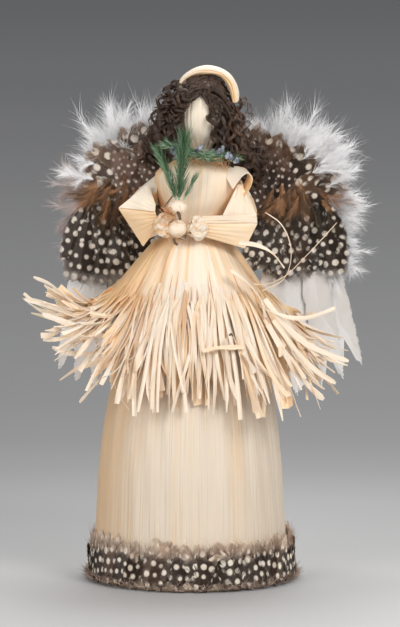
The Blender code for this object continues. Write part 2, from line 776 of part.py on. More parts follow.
def hair_side(name, side, table, material):
    points = []
    radii = []
    for out, back, up, wide in table:
        across = HEAD_SHIFT + side * HEAD_HEIGHT * out
        points.append((across, HEAD_HEIGHT * back, HEAD_MIDDLE + HEAD_HEIGHT * up))
        radii.append(HEAD_HEIGHT * wide)
    tube(name, points, radii, material)


def head_band(material):
    """A rolled husk that lies over the crown from one side to the other."""
    right = [Vector(point) for point in crown_outline(CROWN_OUTER_SHARES)]
    left = [Vector((-point.x, point.y)) for point in right[:0:-1]]
    route = left + right
    points = []
    for index, point in enumerate(route):
        before = route[max(0, index - 1)]
        after = route[min(len(route) - 1, index + 1)]
        along = (after - before).normalized()
        out = point + Vector((-along.y, along.x)) * (BAND_RADIUS + GAP * 2)
        points.append((HEAD_SHIFT + CROWN_SHIFT + out.x, 0, out.y))
    tube("head_band", points, [BAND_RADIUS] * len(points), material)


def winding(name, middle, radius, height, material):
    """A thread tie: one unbroken tube wound in loops."""
    points = []
    for step in range(TIE_LOOPS * TIE_STEPS + 1):
        turn = FULL_TURN * step / TIE_STEPS
        points.append(around(turn, radius, height + TIE_PITCH * step / TIE_STEPS) + Vector((middle, 0, 0)))
    tube(name, points, [TIE_RADIUS] * len(points), material, sides=1)
    half_turn = TIE_STEPS // 2
    least = min((a - b).length for index, a in enumerate(points) for b in points[index + half_turn:])
    print(name, "least gap to itself in metres:", round(least - 2 * TIE_RADIUS, 6))


# Greenery

def frond(name, start, lean, length, width, teeth, material):
    """A sprig tip: a stem with a saw edge of needles on both sides."""
    long = FROND_HEIGHT * length
    wide = FROND_WIDTH / 2 * width
    stem = STEM_WIDTH / 2
    pitch = (1 - BARE_STEM_SHARE) / teeth
    root, point, notch = TOOTH_SHARES
    right = [(stem, 0), (stem, long * BARE_STEM_SHARE)]
    for tooth in range(teeth):
        share = BARE_STEM_SHARE + pitch * (tooth + root)
        belly = math.sin(math.pi * min(1, (share + FROND_BELLY_SHARE) / (1 + FROND_BELLY_SHARE)))
        right.append((stem + wide * belly, long * (share + pitch * point)))
        right.append((stem, long * (share + pitch * notch)))
    left = [(-across, along) for across, along in reversed(right[:-1])]
    outline = right[:-1] + [(0, long)] + left
    foot = hand_centre(UPPER_HAND_DROP) + Vector((HAND_RADIUS * start, 0, 0))
    foot.y += HAND_RADIUS + GAP + FROND_WALL
    foot.z -= HAND_RADIUS
    rotation = (math.pi / 2, math.radians(lean), 0)
    flat_outline(name, outline, FROND_WALL, material, location=foot, rotation=rotation)


def garland_route():
    points = []
    for out, up, forward in GARLAND_SHARES:
        point = Vector((out, -forward, up)) * BODICE_HALF_WIDTH
        points.append(point + Vector((HEAD_SHIFT, 0, NECK_HEIGHT)))
    return points


def garland(material):
    """Needles all round a bent stem: each face of a tube drawn out to a point."""
    points = garland_route()
    stem = tube("garland_stem", points, [GARLAND_RADIUS] * len(points), None, sides=1)
    made = as_mesh(stem)
    bm = bmesh.new()
    bm.from_mesh(made.data)
    bpy.data.objects.remove(made, do_unlink=True)
    long_edges = [edge for edge in bm.edges if edge.calc_length() > GARLAND_RADIUS * NEEDLE_SPAN_SHARE]
    bmesh.ops.subdivide_edges(bm, edges=long_edges, cuts=1)
    sides = [face for face in bm.faces if len(face.verts) == 4]
    bmesh.ops.poke(bm, faces=sides, offset=NEEDLE_LENGTH)
    bmesh.ops.recalc_face_normals(bm, faces=bm.faces)
    add_object("garland", mesh_of(bm, "garland"), material)


def berries(name, place, lean, material):
    """A tight cluster on the garland: a ball whose points stand out as small berries."""
    route = garland_route()
    spot = place * (len(route) - 1)
    first = int(spot)
    on_stem = route[first].lerp(route[first + 1], spot - first)
    lean = math.radians(lean)
    out = Vector((0, -math.sin(lean), math.cos(lean)))
    centre = on_stem + out * (GARLAND_RADIUS + NEEDLE_LENGTH + BERRY_RADIUS)
    bm = bmesh.new()
    bmesh.ops.create_icosphere(bm, subdivisions=2, radius=BERRY_RADIUS)
    for vert in bm.verts:
        if len(vert.link_edges) == 5:
            vert.co *= BERRY_DIMPLE_SHARE
    add_object(name, mesh_of(bm, name), material, location=centre)


# Wings

WING_HEIGHT = NECK_HEIGHT - WING_DROP


def wing_back():
    """How far back a wing's plane lies, so that it just touches the bodice."""
    lean = math.tan(WING_LEAN)
    reach = [depth + lean * (height - WING_HEIGHT) for height, _, depth, _ in bodice_sections()]
    return max(reach) + BODICE_WALL + GAP


def wing_frame(side):
    empty = bpy.data.objects.new("wing_frame_" + ("right" if side > 0 else "left"), None)
    PARTS.objects.link(empty)
    empty.location = (WING_SHIFT, wing_back(), WING_HEIGHT)
    empty.rotation_euler = (WING_LEAN, 0, side * WING_SWEEP)
    return empty


def wing_backing(name, side, frame, material):
    points = [(side * WING_SPAN * out, BACKING_HEIGHT * up) for out, up in BACKING_SHARES]
    where = {"location": (0, BACKING_WALL / 2, 0), "rotation": (math.pi / 2, 0, 0), "parent": frame}
    flat_outline(name, points, BACKING_WALL, material, **where)


def flight(name, side, index, frame, material):
    out, degrees, long = FLIGHT_SHARES[index]
    rows = len(FEATHER_SHARES) - 1
    layer = BACKING_WALL + GAP + FEATHER_WALL / 2 + (index % FLIGHT_LAYERS) * (FEATHER_WALL + LAP_GAP)

    def place(column, row):
        along, wide = FEATHER_SHARES[row]
        across = (column - 1) * FLIGHT_WIDTH / 2 * wide
        return Vector((across, FLIGHT_LENGTH * long * along, 0))

    first = PEPLUM_RADIUS + FLIGHT_CLEARANCE
    root = first + (WING_SPAN - first) * out
    turn = math.radians(degrees) - math.pi / 2
    where = {
        "location": (side * root, layer, 0), "rotation": (math.pi / 2, -side * turn, 0),
        "parent": frame,
    }
    sheet(name, 2, rows, place, FEATHER_WALL, material, side=0, **where)


def fan(name, side, row_of_shares, reach, reach_table, layer, wall, frame, material):
    """Overlapping short feathers as one scalloped sheet in the wing's plane."""
    out, up, first, last, inner, lobes, notch = row_of_shares
    columns = lobes * LOBE_COLUMNS

    def place(column, row):
        degrees = first + (last - first) * column / columns
        off_quill = abs((column % LOBE_COLUMNS) / LOBE_COLUMNS * 2 - 1)
        tip = reach * between(reach_table, degrees)[0] * (1 - notch * off_quill ** 2)
        radius = reach * inner + (tip - reach * inner) * row / FAN_ROWS
        turn = math.radians(degrees)
        crown = wall * QUILL_RISE_SHARE * (1 - off_quill) * row / FAN_ROWS
        across = WING_SPAN * out + radius * math.cos(turn)
        return Vector((side * across, layer - crown, BACKING_HEIGHT * up + radius * math.sin(turn)))

    sheet(name, columns, FAN_ROWS, place, wall, material, side=0, parent=frame)


def wing(label, side, materials):
    frame = wing_frame(side)
    wing_backing(f"wing_backing_{label}", side, frame, materials["husk"])
    for index in range(FEATHERS):
        flight(f"flight_feather_{label}_{index + 1}", side, index, frame, materials["white"])
    front = -GAP - FEATHER_WALL / 2
    behind = BACKING_WALL + GAP + FLIGHT_LAYERS * (FEATHER_WALL + LAP_GAP) + MARABOU_WALL
    for kind, row, reach, table, layer, wall, slot in (
        ("upper_coverts", UPPER_COVERT_SHARES, UPPER_COVERT_REACH, EVEN_SHARES, front, FEATHER_WALL, "dark"),
        ("lower_coverts", LOWER_COVERT_SHARES, LOWER_COVERT_REACH, EVEN_SHARES, front, FEATHER_WALL, "dark"),
        ("marabou", FRINGE_SHARES, MARABOU_REACH, MARABOU_SHARES, behind, MARABOU_WALL, "fluff"),
    ):
        fan(f"{kind}_{label}", side, row, reach, table, layer, wall, frame, materials[slot])


def build():
    husk = new_material("corn_husk", HUSK_COLOUR, 0.55)
    lining = new_material("lining_husk", LINING_COLOUR, 0.7)
    hair = new_material("curly_hair", HAIR_COLOUR, 0.6)
    green = new_material("green_sprig", GREEN_COLOUR, 0.6)
    berry = new_material("blue_berry", BERRY_COLOUR, 0.5)
    thread = new_material("thread", THREAD_COLOUR, 0.7)
    feather = {
        "husk": lining,
        "dark": new_material("spotted_feather", DARK_FEATHER_COLOUR, 0.6),
        "white": new_material("white_feather", WHITE_FEATHER_COLOUR, 0.6),
        "fluff": new_material("white_fluff", WHITE_FEATHER_COLOUR, 0.9),
    }

    skirt_lining(lining)
    for index in range(HUSK_PANELS):
        skirt_panel(index, husk)
    for index in range(HEM_BANDS):
        hem_band(index, feather["dark"])
    for name, first, count in (
        ("peplum_front_left", -8, 8), ("peplum_front_right", 0, 8), ("peplum_side_left", -18, 10),
        ("peplum_side_right", 8, 10), ("peplum_back", 18, 12),
    ):
        peplum_sector(name, first, count, husk)
    tie_radius = COLLAR_RADIUS + PEPLUM_WALL + GAP + TIE_RADIUS
    winding("waist_tie", 0, tie_radius, COLLAR_TOP - TIE_LOOPS * TIE_PITCH - TIE_RADIUS, thread)

    torso_core(arm_channel(), lining)
    bodice_half("bodice_front", True, husk)
    bodice_half("bodice_back", False, husk)
    arm_roll(lining)
    for label, side, table in (("left", -1, LEFT_SLEEVE_SHARES), ("right", 1, RIGHT_SLEEVE_SHARES)):
        sleeve(f"sleeve_{label}", side, table, husk)
        cuff(f"cuff_{label}", side, table, husk)
    hand("hand_left", UPPER_HAND_DROP, husk)
    hand("hand_right", LOWER_HAND_DROP, husk)

    head_core(lining)
    head_husk(husk)
    winding("neck_tie", HEAD_SHIFT, NECK_RADIUS + GAP + TIE_RADIUS, HEAD_FOOT + TIE_RADIUS + GAP, thread)
    hair_crown(hair)
    hair_back(hair)
    hair_side("hair_left", -1, LEFT_HAIR_SHARES, hair)
    hair_side("hair_right", 1, RIGHT_HAIR_SHARES, hair)
    head_band(husk)

    for label, row in zip(("tall", "side", "small"), FROND_SHARES):
        frond(f"sprig_{label}", *row, green)
    garland(green)
    for label, row in zip(("left", "centre", "right"), BERRY_SHARES):
        berries(f"berries_{label}", *row, berry)
    for label, side in (("left", -1), ("right", 1)):
        wing(label, side, feather)


clear_scene()
PARTS = new_collection("corn_husk_doll")
CUTTERS = new_collection("cutters")
build()
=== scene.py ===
"""The looks of a corn husk doll: husk, feathers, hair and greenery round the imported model.

Metres, +Z up. The doll faces -Y, and +X is to the viewer's right.
"""

import math

import bmesh
import bpy
import numpy as np
from mathutils import Euler, Matrix, Vector


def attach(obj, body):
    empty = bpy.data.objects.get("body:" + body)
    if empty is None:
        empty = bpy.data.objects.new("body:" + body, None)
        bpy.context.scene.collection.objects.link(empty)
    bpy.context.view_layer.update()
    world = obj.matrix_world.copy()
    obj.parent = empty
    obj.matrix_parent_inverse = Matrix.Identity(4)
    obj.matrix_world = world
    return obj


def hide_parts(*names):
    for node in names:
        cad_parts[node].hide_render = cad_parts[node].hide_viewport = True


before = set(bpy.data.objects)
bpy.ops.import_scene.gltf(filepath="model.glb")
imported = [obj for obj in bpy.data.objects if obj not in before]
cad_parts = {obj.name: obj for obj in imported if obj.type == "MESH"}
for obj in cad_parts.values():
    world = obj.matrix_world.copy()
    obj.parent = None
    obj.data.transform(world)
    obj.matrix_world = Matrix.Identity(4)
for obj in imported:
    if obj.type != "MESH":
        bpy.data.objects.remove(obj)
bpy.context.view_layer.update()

FULL_TURN = math.tau

# The doll's own sizes, the same as the model's
GAP = 0.0003
LAP_GAP = 0.0004
SKIRT_HEIGHT = 0.1675
LINING_HEM_RADIUS = 0.0470
LINING_WALL = 0.0014
HUSK_WALL = 0.0006
FOLD_DEPTH = 0.0012
HEM_CLEARANCE = 0.0010
COLLAR_HEIGHT = 0.0090
PEPLUM_DROP = 0.0315
PEPLUM_RADIUS = 0.0335
PEPLUM_WALL = 0.0007
STRIP_REACH = 0.0840
LEFT_FLARE = 0.0075
CORE_WAIST_RADIUS = 0.0073
BODICE_HALF_WIDTH = 0.0210
BODICE_HALF_DEPTH = 0.0120
BODICE_HEIGHT = 0.0405
BODICE_TUCK = 0.0050
BODICE_WALL = 0.0006
SHOULDER_SHIFT = 0.0020
SHOULDER_DROP = 0.0170
ARM_SIZE = 0.0200
CUFF_LENGTH = 0.0042
CUFF_RADIUS = 0.0072
HAND_RADIUS = 0.0043
HAND_FORWARD = 0.0240
HAND_OFFSET = -0.0079
UPPER_HAND_DROP = 0.0233
LOWER_HAND_DROP = 0.0340
HEAD_SHIFT = 0.0040
HEAD_RADIUS = 0.0110
HEAD_HEIGHT = 0.0372
NECK_RADIUS = 0.0045
NECK_TUCK = 0.0030
CROWN_SHIFT = 0.0015
WING_DROP = 0.0320
WING_SHIFT = 0.0040
BACKING_WALL = 0.0010
FEATHER_WALL = 0.0006
FLIGHT_WIDTH = 0.0155
WING_SWEEP = math.radians(15)
WING_LEAN = math.radians(10)
HUSK_PANELS = 6
SKIRT_COLUMNS = 48
HEM_BANDS = 4

COLLAR_TOP = SKIRT_HEIGHT + COLLAR_HEIGHT
SLIT_HEIGHT = COLLAR_TOP - PEPLUM_DROP
WAIST_HEIGHT = SKIRT_HEIGHT + BODICE_TUCK
NECK_HEIGHT = WAIST_HEIGHT + BODICE_HEIGHT
SHOULDER_HEIGHT = NECK_HEIGHT - SHOULDER_DROP
HEAD_FOOT = NECK_HEIGHT - NECK_TUCK
HEAD_MIDDLE = HEAD_FOOT + HEAD_HEIGHT * 0.6
WING_HEIGHT = NECK_HEIGHT - WING_DROP
LINING_WAIST_RADIUS = CORE_WAIST_RADIUS + GAP + LINING_WALL
BODICE_WAIST_RADIUS = CORE_WAIST_RADIUS + GAP
COLLAR_RADIUS = BODICE_WAIST_RADIUS + BODICE_WALL + GAP
HUSK_RISE = (HUSK_WALL + LAP_GAP) * 10 / 8
HUSK_STACK = LAP_GAP + HUSK_RISE + HUSK_WALL + FOLD_DEPTH

# Height share, flare share from the waist to the hem
SKIRT_SHARES = (
    (0.00, 1.00), (0.12, 0.92), (0.36, 0.86), (0.58, 0.73), (0.76, 0.52), (0.90, 0.30),
    (1.00, 0.00),
)
# Share and phase of each wave of the pleats, and how often it goes round
PLEAT_SHARES = ((0.33, 9, 0.6), (0.17, 5, 0.0))
# Drop share, spread share of the dome that the overskirt hangs from
DOME_SHARES = (
    (0.00, 0.00), (0.10, 0.04), (0.17, 0.26), (0.24, 0.39), (0.37, 0.52), (0.63, 0.73),
    (1.00, 1.00),
)
# Turn from the front in degrees, reach share, tip height share of the slits' height
STRIP_SHARES = (
    (-180, 0.51, 0.70), (-150, 0.51, 0.70), (-127, 0.53, 0.69), (-118, 0.66, 0.75),
    (-108, 0.78, 0.84), (-98, 0.95, 0.93), (-86, 1.00, 1.00), (-75, 0.92, 0.90), (-60, 0.90, 0.77),
    (-45, 0.82, 0.66), (-30, 0.69, 0.60), (-15, 0.60, 0.56), (0, 0.57, 0.55), (15, 0.60, 0.56),
    (30, 0.69, 0.58), (45, 0.82, 0.58), (60, 0.89, 0.63), (75, 0.87, 0.70), (90, 0.91, 0.76),
    (100, 0.86, 0.80), (110, 0.72, 0.78), (118, 0.62, 0.73), (127, 0.53, 0.69), (150, 0.51, 0.70),
    (180, 0.51, 0.70),
)
# Height share above the waist tuck, width share, depth share, shift share
BODICE_SHARES = (
    (0.08, 0.52, 0.80, 0.1), (0.24, 0.73, 0.93, 0.4), (0.42, 0.90, 1.00, 0.8),
    (0.62, 1.00, 0.97, 1.0), (0.77, 0.97, 0.84, 1.2), (0.88, 0.67, 0.66, 1.4),
)
# Sleeve rings from the shoulder to the wrist: inner end out and up, outer end out and up,
# forward, half depth
LEFT_SLEEVE_SHARES = (
    (0.000, -0.420, 0.050, 0.400, -0.02, 0.30), (0.125, -0.425, 0.525, 0.025, 0.10, 0.275),
    (0.250, -0.450, 0.875, -0.375, 0.25, 0.25), (0.235, -0.475, 0.750, -0.875, 0.425, 0.23),
    (0.140, -0.465, 0.375, -1.325, 0.675, 0.21), (-0.125, -0.455, -0.125, -1.115, 0.925, 0.19),
)
RIGHT_SLEEVE_SHARES = (
    (0.000, -0.425, 0.040, 0.400, -0.02, 0.30), (0.065, -0.475, 0.375, -0.125, 0.10, 0.275),
    (0.085, -0.570, 0.515, -0.510, 0.25, 0.25), (0.070, -0.610, 0.450, -0.960, 0.40, 0.23),
    (-0.035, -0.620, 0.065, -1.410, 0.60, 0.22), (-0.385, -0.600, -0.385, -1.355, 0.825, 0.21),
    (-0.910, -0.605, -0.910, -1.105, 0.975, 0.19),
)
# Height share from the neck, radius share
HEAD_SHARES = (
    (0.00, 0.409), (0.10, 0.409), (0.17, 0.43), (0.28, 0.66), (0.42, 0.90), (0.58, 1.00),
    (0.74, 0.96), (0.89, 0.77), (0.975, 0.42), (1.00, 0.02),
)
# Height share of the head above its middle, radius share, over the crown from side to side
CROWN_SHARES = ((0.575, 0.00), (0.55, 0.42), (0.49, 0.76), (0.40, 0.98), (0.27, 1.14))
# Sideways, up from the neck and forward shares of the bodice's half width
GARLAND_SHARES = (
    (-0.80, 0.30, 0.42), (-0.62, 0.22, 0.50), (-0.40, 0.15, 0.56), (-0.16, 0.09, 0.60),
    (0.10, 0.05, 0.61), (0.36, 0.03, 0.58), (0.60, 0.02, 0.50), (0.80, 0.03, 0.42),
)


# Lines, tables and chance

def chance_for(name):
    """A source of chance that gives a piece the same numbers in every run."""
    return np.random.default_rng(sum(ord(letter) * (place + 7) for place, letter in enumerate(name)))


def unit(vectors):
    """Vectors of length 1."""
    length = np.linalg.norm(vectors, axis=-1, keepdims=True)
    return vectors / np.maximum(length, 1e-9)


def along(table, share):
    """The other columns of a table at shares between its rows, on straight lines."""
    table = np.array(table, float)
    columns = [np.interp(share, table[:, 0], column) for column in table[:, 1:].T]
    return np.stack(columns, -1)


def smooth_along(table, share):
    """The same on one smooth line."""
    table = np.array(table, float)
    places, values = table[:, 0], table[:, 1:]
    slopes = np.gradient(values, places, axis=0)
    share = np.clip(share, places[0], places[-1])
    index = np.clip(np.searchsorted(places, share, side="right") - 1, 0, len(places) - 2)
    step = (places[index + 1] - places[index])[..., None]
    part = (share - places[index])[..., None] / step
    low, high = values[index], values[index + 1]
    leave, reach = slopes[index] * step, slopes[index + 1] * step
    rise = part * part * (3 - 2 * part)
    return low + (high - low) * rise + part * (1 - part) * ((1 - part) * leave - part * reach)


def round_axis(turn, radius, height):
    """Points by their turn from the front, towards the viewer's right."""
    turn, radius, height = np.broadcast_arrays(turn, radius, height)
    return np.stack((radius * np.sin(turn), -radius * np.cos(turn), height), -1)


def ripple(chance, *values, waves=4, reach=1.0):
    """Smooth uneven waves between about -1 and 1, over one or more directions."""
    total = 0
    for _ in range(waves):
        phase = chance.uniform(0, FULL_TURN)
        for value in values:
            phase = phase + value * chance.uniform(0.4, 1.0) * reach * FULL_TURN * chance.choice((-1, 1))
        total = total + np.sin(phase)
    return total / math.sqrt(2 * waves)


def line_through(points, count):
    """A smooth line of count points through a few given ones."""
    points = np.array(points, float)
    steps = np.linalg.norm(np.diff(points, axis=0), axis=1)
    places = np.concatenate(([0], np.cumsum(steps)))
    table = np.column_stack((places, points))
    return smooth_along(table, np.linspace(0, places[-1], count))


def grid_of(down, rows, across, columns):
    """Two grids that count from 0: down the rows and across the columns."""
    return np.meshgrid(np.linspace(0, down, rows), np.linspace(0, across, columns), indexing="ij")


def picked(chance, value):
    """A number as it is, or one by chance from a range."""
    return chance.uniform(*value) if isinstance(value, tuple) else value


def bent_lines(chance, root, aim, reach, bend, rings):
    """Lines that leave their roots along their aims. Bend is how far a tip strays, as a share of
    its reach."""
    share = np.linspace(0, 1, rings)[None, :, None]
    stray = chance.normal(0, bend, (len(root), 1, 3))
    return root[:, None] + (aim[:, None] * share + stray * share ** 2) * reach


def band_at(value, middle, width):
    """1 at the middle, and down to 0 at about twice the width to either side."""
    return np.exp(-((value - middle) / width) ** 2)


def turned_about(vectors, axes, angles):
    """Vectors turned about unit axes."""
    angles = np.asarray(angles)[..., None]
    lift = np.sum(axes * vectors, -1, keepdims=True)
    across = np.cross(axes, vectors)
    return vectors * np.cos(angles) + across * np.sin(angles) + axes * lift * (1 - np.cos(angles))


# Rods and leaves, from which every soft piece is laid

def rod(sides, rings):
    """A closed rod along Z, with its rings one unit apart."""
    bm = bmesh.new()
    bmesh.ops.create_cone(bm, cap_ends=True, segments=sides, radius1=1, radius2=1, depth=rings - 1)
    bmesh.ops.translate(bm, verts=bm.verts, vec=(0, 0, (rings - 1) / 2))
    for ring in range(1, rings - 1):
        everything = bm.verts[:] + bm.edges[:] + bm.faces[:]
        bmesh.ops.bisect_plane(bm, geom=everything, plane_co=(0, 0, ring), plane_no=(0, 0, 1))
    return bm


def leaf(columns, rows):
    """A closed sheet: X counts its columns, Y its rows, and Z is 0 on its face and -1 on its back."""
    bm = bmesh.new()
    bmesh.ops.create_grid(bm, x_segments=columns, y_segments=rows, size=1)
    bmesh.ops.translate(bm, verts=bm.verts, vec=(1, 1, 0))
    bmesh.ops.scale(bm, verts=bm.verts, vec=(columns / 2, rows / 2, 1))
    bmesh.ops.solidify(bm, geom=bm.faces[:], thickness=1)
    return bm


def mesh_of(bm, name):
    """The finished mesh of a bmesh."""
    mesh = bpy.data.meshes.new(name)
    bm.to_mesh(mesh)
    bm.free()
    return mesh


class Bundle:
    """Rods and leaves that become one piece. Every corner keeps how it lies in the fibre:
    across and along in metres, and a tint from 0 to 1."""

    def __init__(self, name):
        self.name = name
        self.bm = bmesh.new()
        self.places = []
        self.lies = []

    def add(self, pattern, places, lies):
        stock = mesh_of(pattern, "stock")
        for _ in range(len(places)):
            self.bm.from_mesh(stock)
        bpy.data.meshes.remove(stock)
        self.places.append(places.reshape(-1, 3))
        self.lies.append(lies.reshape(-1, 3))

    def rods(self, lines, radii, tint, sides=3, flat=1.0):
        """One rod a line. Lines are (rods, rings, 3), radii and tints fit them."""
        lines = np.asarray(lines, float)
        count, rings = lines.shape[:2]
        radii = np.broadcast_to(radii, (count, rings))
        tint = np.broadcast_to(np.reshape(tint, (-1, 1)) if np.ndim(tint) == 1 else tint, (count, rings))
        ahead = unit(np.gradient(lines, axis=1))
        chord = unit(lines[:, -1] - lines[:, 0])
        aside = np.where(np.abs(chord[:, 2:]) < 0.8, np.array((0, 0, 1.0)), np.array((0, 1.0, 0)))
        side = np.empty_like(lines)
        for ring in range(rings):
            aside = aside - np.sum(aside * ahead[:, ring], -1, keepdims=True) * ahead[:, ring]
            aside = unit(aside)
            side[:, ring] = aside
        other = np.cross(ahead, side)
        pattern = rod(sides, rings)
        corners = np.array([vert.co for vert in pattern.verts])
        ring = np.rint(corners[:, 2]).astype(int)
        reach = radii[:, ring, None]
        places = lines[:, ring] + reach * corners[:, 0, None] * side[:, ring]
        places = places + reach * corners[:, 1, None] * other[:, ring] * flat
        length = np.cumsum(np.linalg.norm(np.diff(lines, axis=1, prepend=lines[:, :1]), axis=-1), axis=1)
        lies = np.stack((reach[..., 0] * corners[:, 0], length[:, ring], tint[:, ring]), -1)
        self.add(pattern, places, lies)

    def told_rods(self, lines, radii, lies):
        """Rods whose lies are given, (rods, rings, 3), as for the barbs of a feather."""
        self.rods(lines, radii, 0)
        rings = lines.shape[1]
        pattern = rod(3, rings)
        ring = np.rint([vert.co.z for vert in pattern.verts]).astype(int)
        pattern.free()
        self.lies[-1] = lies[:, ring].reshape(-1, 3)

    def leaves(self, faces, lies, wall):
        """One closed sheet a face. Faces are (sheets, rows, columns, 3), with lies to fit."""
        faces = np.asarray(faces, float)
        rows, columns = faces.shape[1:3]
        across = np.gradient(faces, axis=2)
        down = np.gradient(faces, axis=1)
        normals = unit(np.cross(across, down))
        pattern = leaf(columns - 1, rows - 1)
        corners = np.array([vert.co for vert in pattern.verts])
        column, row = np.rint(corners[:, 0]).astype(int), np.rint(corners[:, 1]).astype(int)
        depth = (corners[:, 2, None] + 0.5) * wall
        places = faces[:, row, column] + normals[:, row, column] * depth
        self.add(pattern, places, np.broadcast_to(lies, faces.shape)[:, row, column])

    def piece(self, finish, slot, *nodes, crisp=True):
        mesh = mesh_of(self.bm, self.name)
        mesh.vertices.foreach_set("co", np.concatenate(self.places).astype(np.float32).ravel())
        lie = mesh.attributes.new("lie", "FLOAT_VECTOR", "POINT")
        lie.data.foreach_set("vector", np.concatenate(self.lies).astype(np.float32).ravel())
        mesh.update()
        mesh.shade_smooth()
        if crisp:
            mesh.set_sharp_from_angle(angle=math.radians(50))
        return shown(mesh, finish, slot, *nodes)


def shown(mesh, finish, slot, *nodes):
    """Puts a mesh in the scene as a piece of the doll."""
    piece = bpy.data.objects.new(mesh.name, mesh)
    bpy.context.scene.collection.objects.link(piece)
    mesh.materials.append(finish)
    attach(piece, "root")
    if nodes:
        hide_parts(*nodes)
    return piece


def start_piece(name):
    """An empty bundle and the chance that goes with its name."""
    return Bundle(name), chance_for(name)


# Finishes. A noise is read at waves a metre, so 1700 across a husk gives veins about 0.6 mm apart.

class Value:
    """A number that varies over a surface. Arithmetic on it adds Math nodes."""

    def __init__(self, finish, socket):
        self.finish = finish
        self.socket = socket

    def math(self, operation, *others):
        return self.finish.math(operation, self, *others)

    def __add__(self, other):
        return self.math("ADD", other)

    def __radd__(self, other):
        return self.finish.math("ADD", other, self)

    def __sub__(self, other):
        return self.math("SUBTRACT", other)

    def __rsub__(self, other):
        return self.finish.math("SUBTRACT", other, self)

    def __mul__(self, other):
        return self.math("MULTIPLY", other)

    def __rmul__(self, other):
        return self.finish.math("MULTIPLY", other, self)

    def __truediv__(self, other):
        return self.math("DIVIDE", other)

    def __rtruediv__(self, other):
        return self.finish.math("DIVIDE", other, self)


class Finish:
    """A material, made by plain calls."""

    def __init__(self, name, roughness=0.5, **constants):
        self.material = bpy.data.materials.new(name)
        self.material.use_nodes = True
        self.nodes = self.material.node_tree.nodes
        self.links = self.material.node_tree.links
        self.shader = self.nodes["Principled BSDF"]
        self.shader.inputs["Roughness"].default_value = roughness
        for name, value in constants.items():
            self.put(self.socket(self.shader, name), value)

    def socket(self, node, name):
        """A socket that is in use, by its name in small letters."""
        return [s for s in node.inputs if s.enabled and s.name.replace(" ", "_").lower() == name][0]

    def put(self, socket, value):
        if isinstance(value, Value):
            value = value.socket
        if isinstance(value, bpy.types.NodeSocket):
            self.links.new(value, socket)
        elif socket.type == "RGBA" and len(value) == 3:
            socket.default_value = (*value, 1)
        else:
            socket.default_value = value

    def node(self, kind, settings=None, **sockets):
        """Any node: its settings come first, then the values or links of its sockets."""
        node = self.nodes.new("ShaderNode" + kind)
        for name, value in (settings or {}).items():
            if name == "stops":
                ramp = node.color_ramp
                while len(ramp.elements) < len(value):
                    ramp.elements.new(1)
                for element, (place, colour) in zip(ramp.elements, value):
                    element.position = place
                    element.color = (*colour, 1)
            else:
                setattr(node, name, value)
        for name, value in sockets.items():
            self.put(self.socket(node, name), value)
        return node

    def math(self, operation, *values):
        node = self.node("Math", {"operation": operation})
        for socket, value in zip(node.inputs, values):
            self.put(socket, value)
        return Value(self, node.outputs[0])

    def clamp(self, value, low, high):
        """0 below low, 1 above high and smooth between."""
        node = self.node(
            "MapRange", {"interpolation_type": "SMOOTHSTEP"},
            value=value, from_min=low, from_max=high,
        )
        return Value(self, node.outputs["Result"])

    def lie(self):
        """How the fibre lies: across, along and tint."""
        vector = self.node("Attribute", {"attribute_name": "lie"}).outputs["Vector"]
        parts = self.node("SeparateXYZ", vector=vector)
        return [Value(self, output) for output in parts.outputs]

    def place(self):
        return self.node("TexCoord").outputs["Object"]

    def vector(self, x, y, z=0.0):
        return self.node("CombineXYZ", x=x, y=y, z=z).outputs[0]

    def stretched(self, vector, x, y, z):
        """A vector whose parts are scaled."""
        node = self.node("VectorMath", {"operation": "MULTIPLY"})
        self.put(node.inputs[0], vector)
        node.inputs[1].default_value = (x, y, z)
        return node.outputs[0]

    def noise(self, vector, detail, scale=1.0):
        node = self.node("TexNoise", vector=vector, scale=scale, detail=detail)
        return Value(self, node.outputs[0])

    def mix(self, factor, low, high):
        node = self.node("Mix", {"data_type": "RGBA"}, factor=factor, a=low, b=high)
        return node.outputs["Result"]

    def bump(self, height, distance, strength):
        node = self.node("Bump", height=height, distance=distance, strength=strength)
        self.put(self.shader.inputs["Normal"], node.outputs[0])

    def paint(self, colour, roughness=None):
        """Gives the material its colour, and its roughness if that varies."""
        self.put(self.shader.inputs["Base Color"], colour)
        if roughness is not None:
            self.put(self.shader.inputs["Roughness"], roughness)
        return self.material


def husk_finish(name, pale, warm, streak):
    """Dried husk: fine straight veins along the leaf, slow streaks and a satin surface. Where the tint is
    high it turns to the warm colour, which is partly the husk's own tone and partly painted shade.
    """
    f = Finish(name, roughness=0.5, subsurface_weight=0.2, subsurface_scale=0.002)
    f.shader.inputs["Subsurface Radius"].default_value = (1.0, 0.55, 0.28)
    across, length, tint = f.lie()
    veins = f.noise(f.vector(across * 1700, length * 16), detail=2)
    bands = f.noise(f.vector(across * 420, length * 9), detail=3)
    slow = f.noise(f.vector(across * 90, length * 22), detail=2)
    # The warm colour is partly the husk's own warm tone and streaks, and partly painted shade that the
    # pieces lay through the tint in folds, gaps, undersides and on the shaded side.
    warm_tone_and_shade = f.clamp(veins * 0.22 + bands * 0.42 + slow * 0.45 + tint * 0.72, 0.52, 1.25)
    colour = f.mix(warm_tone_and_shade, pale, warm)
    colour = f.mix(f.clamp(veins, 0.50, 0.75) * 0.50, colour, streak)
    f.bump(veins * 0.8 + bands * 0.3, 0.00028, 0.6)
    return f.paint(colour, 0.4 + veins * 0.25)


def inner_husk_finish(name, pale, warm):
    """Husk on a piece that only knows its place: veins run upwards."""
    f = Finish(name, roughness=0.65)
    veins = f.noise(f.stretched(f.place(), 1800, 1800, 30), detail=2)
    slow = f.noise(f.place(), scale=120, detail=3)
    colour = f.mix(f.clamp(veins * 0.6 + slow * 0.6, 0.35, 0.9), pale, warm)
    f.bump(veins, 0.0002, 0.5)
    return f.paint(colour, 0.55 + slow * 0.25)


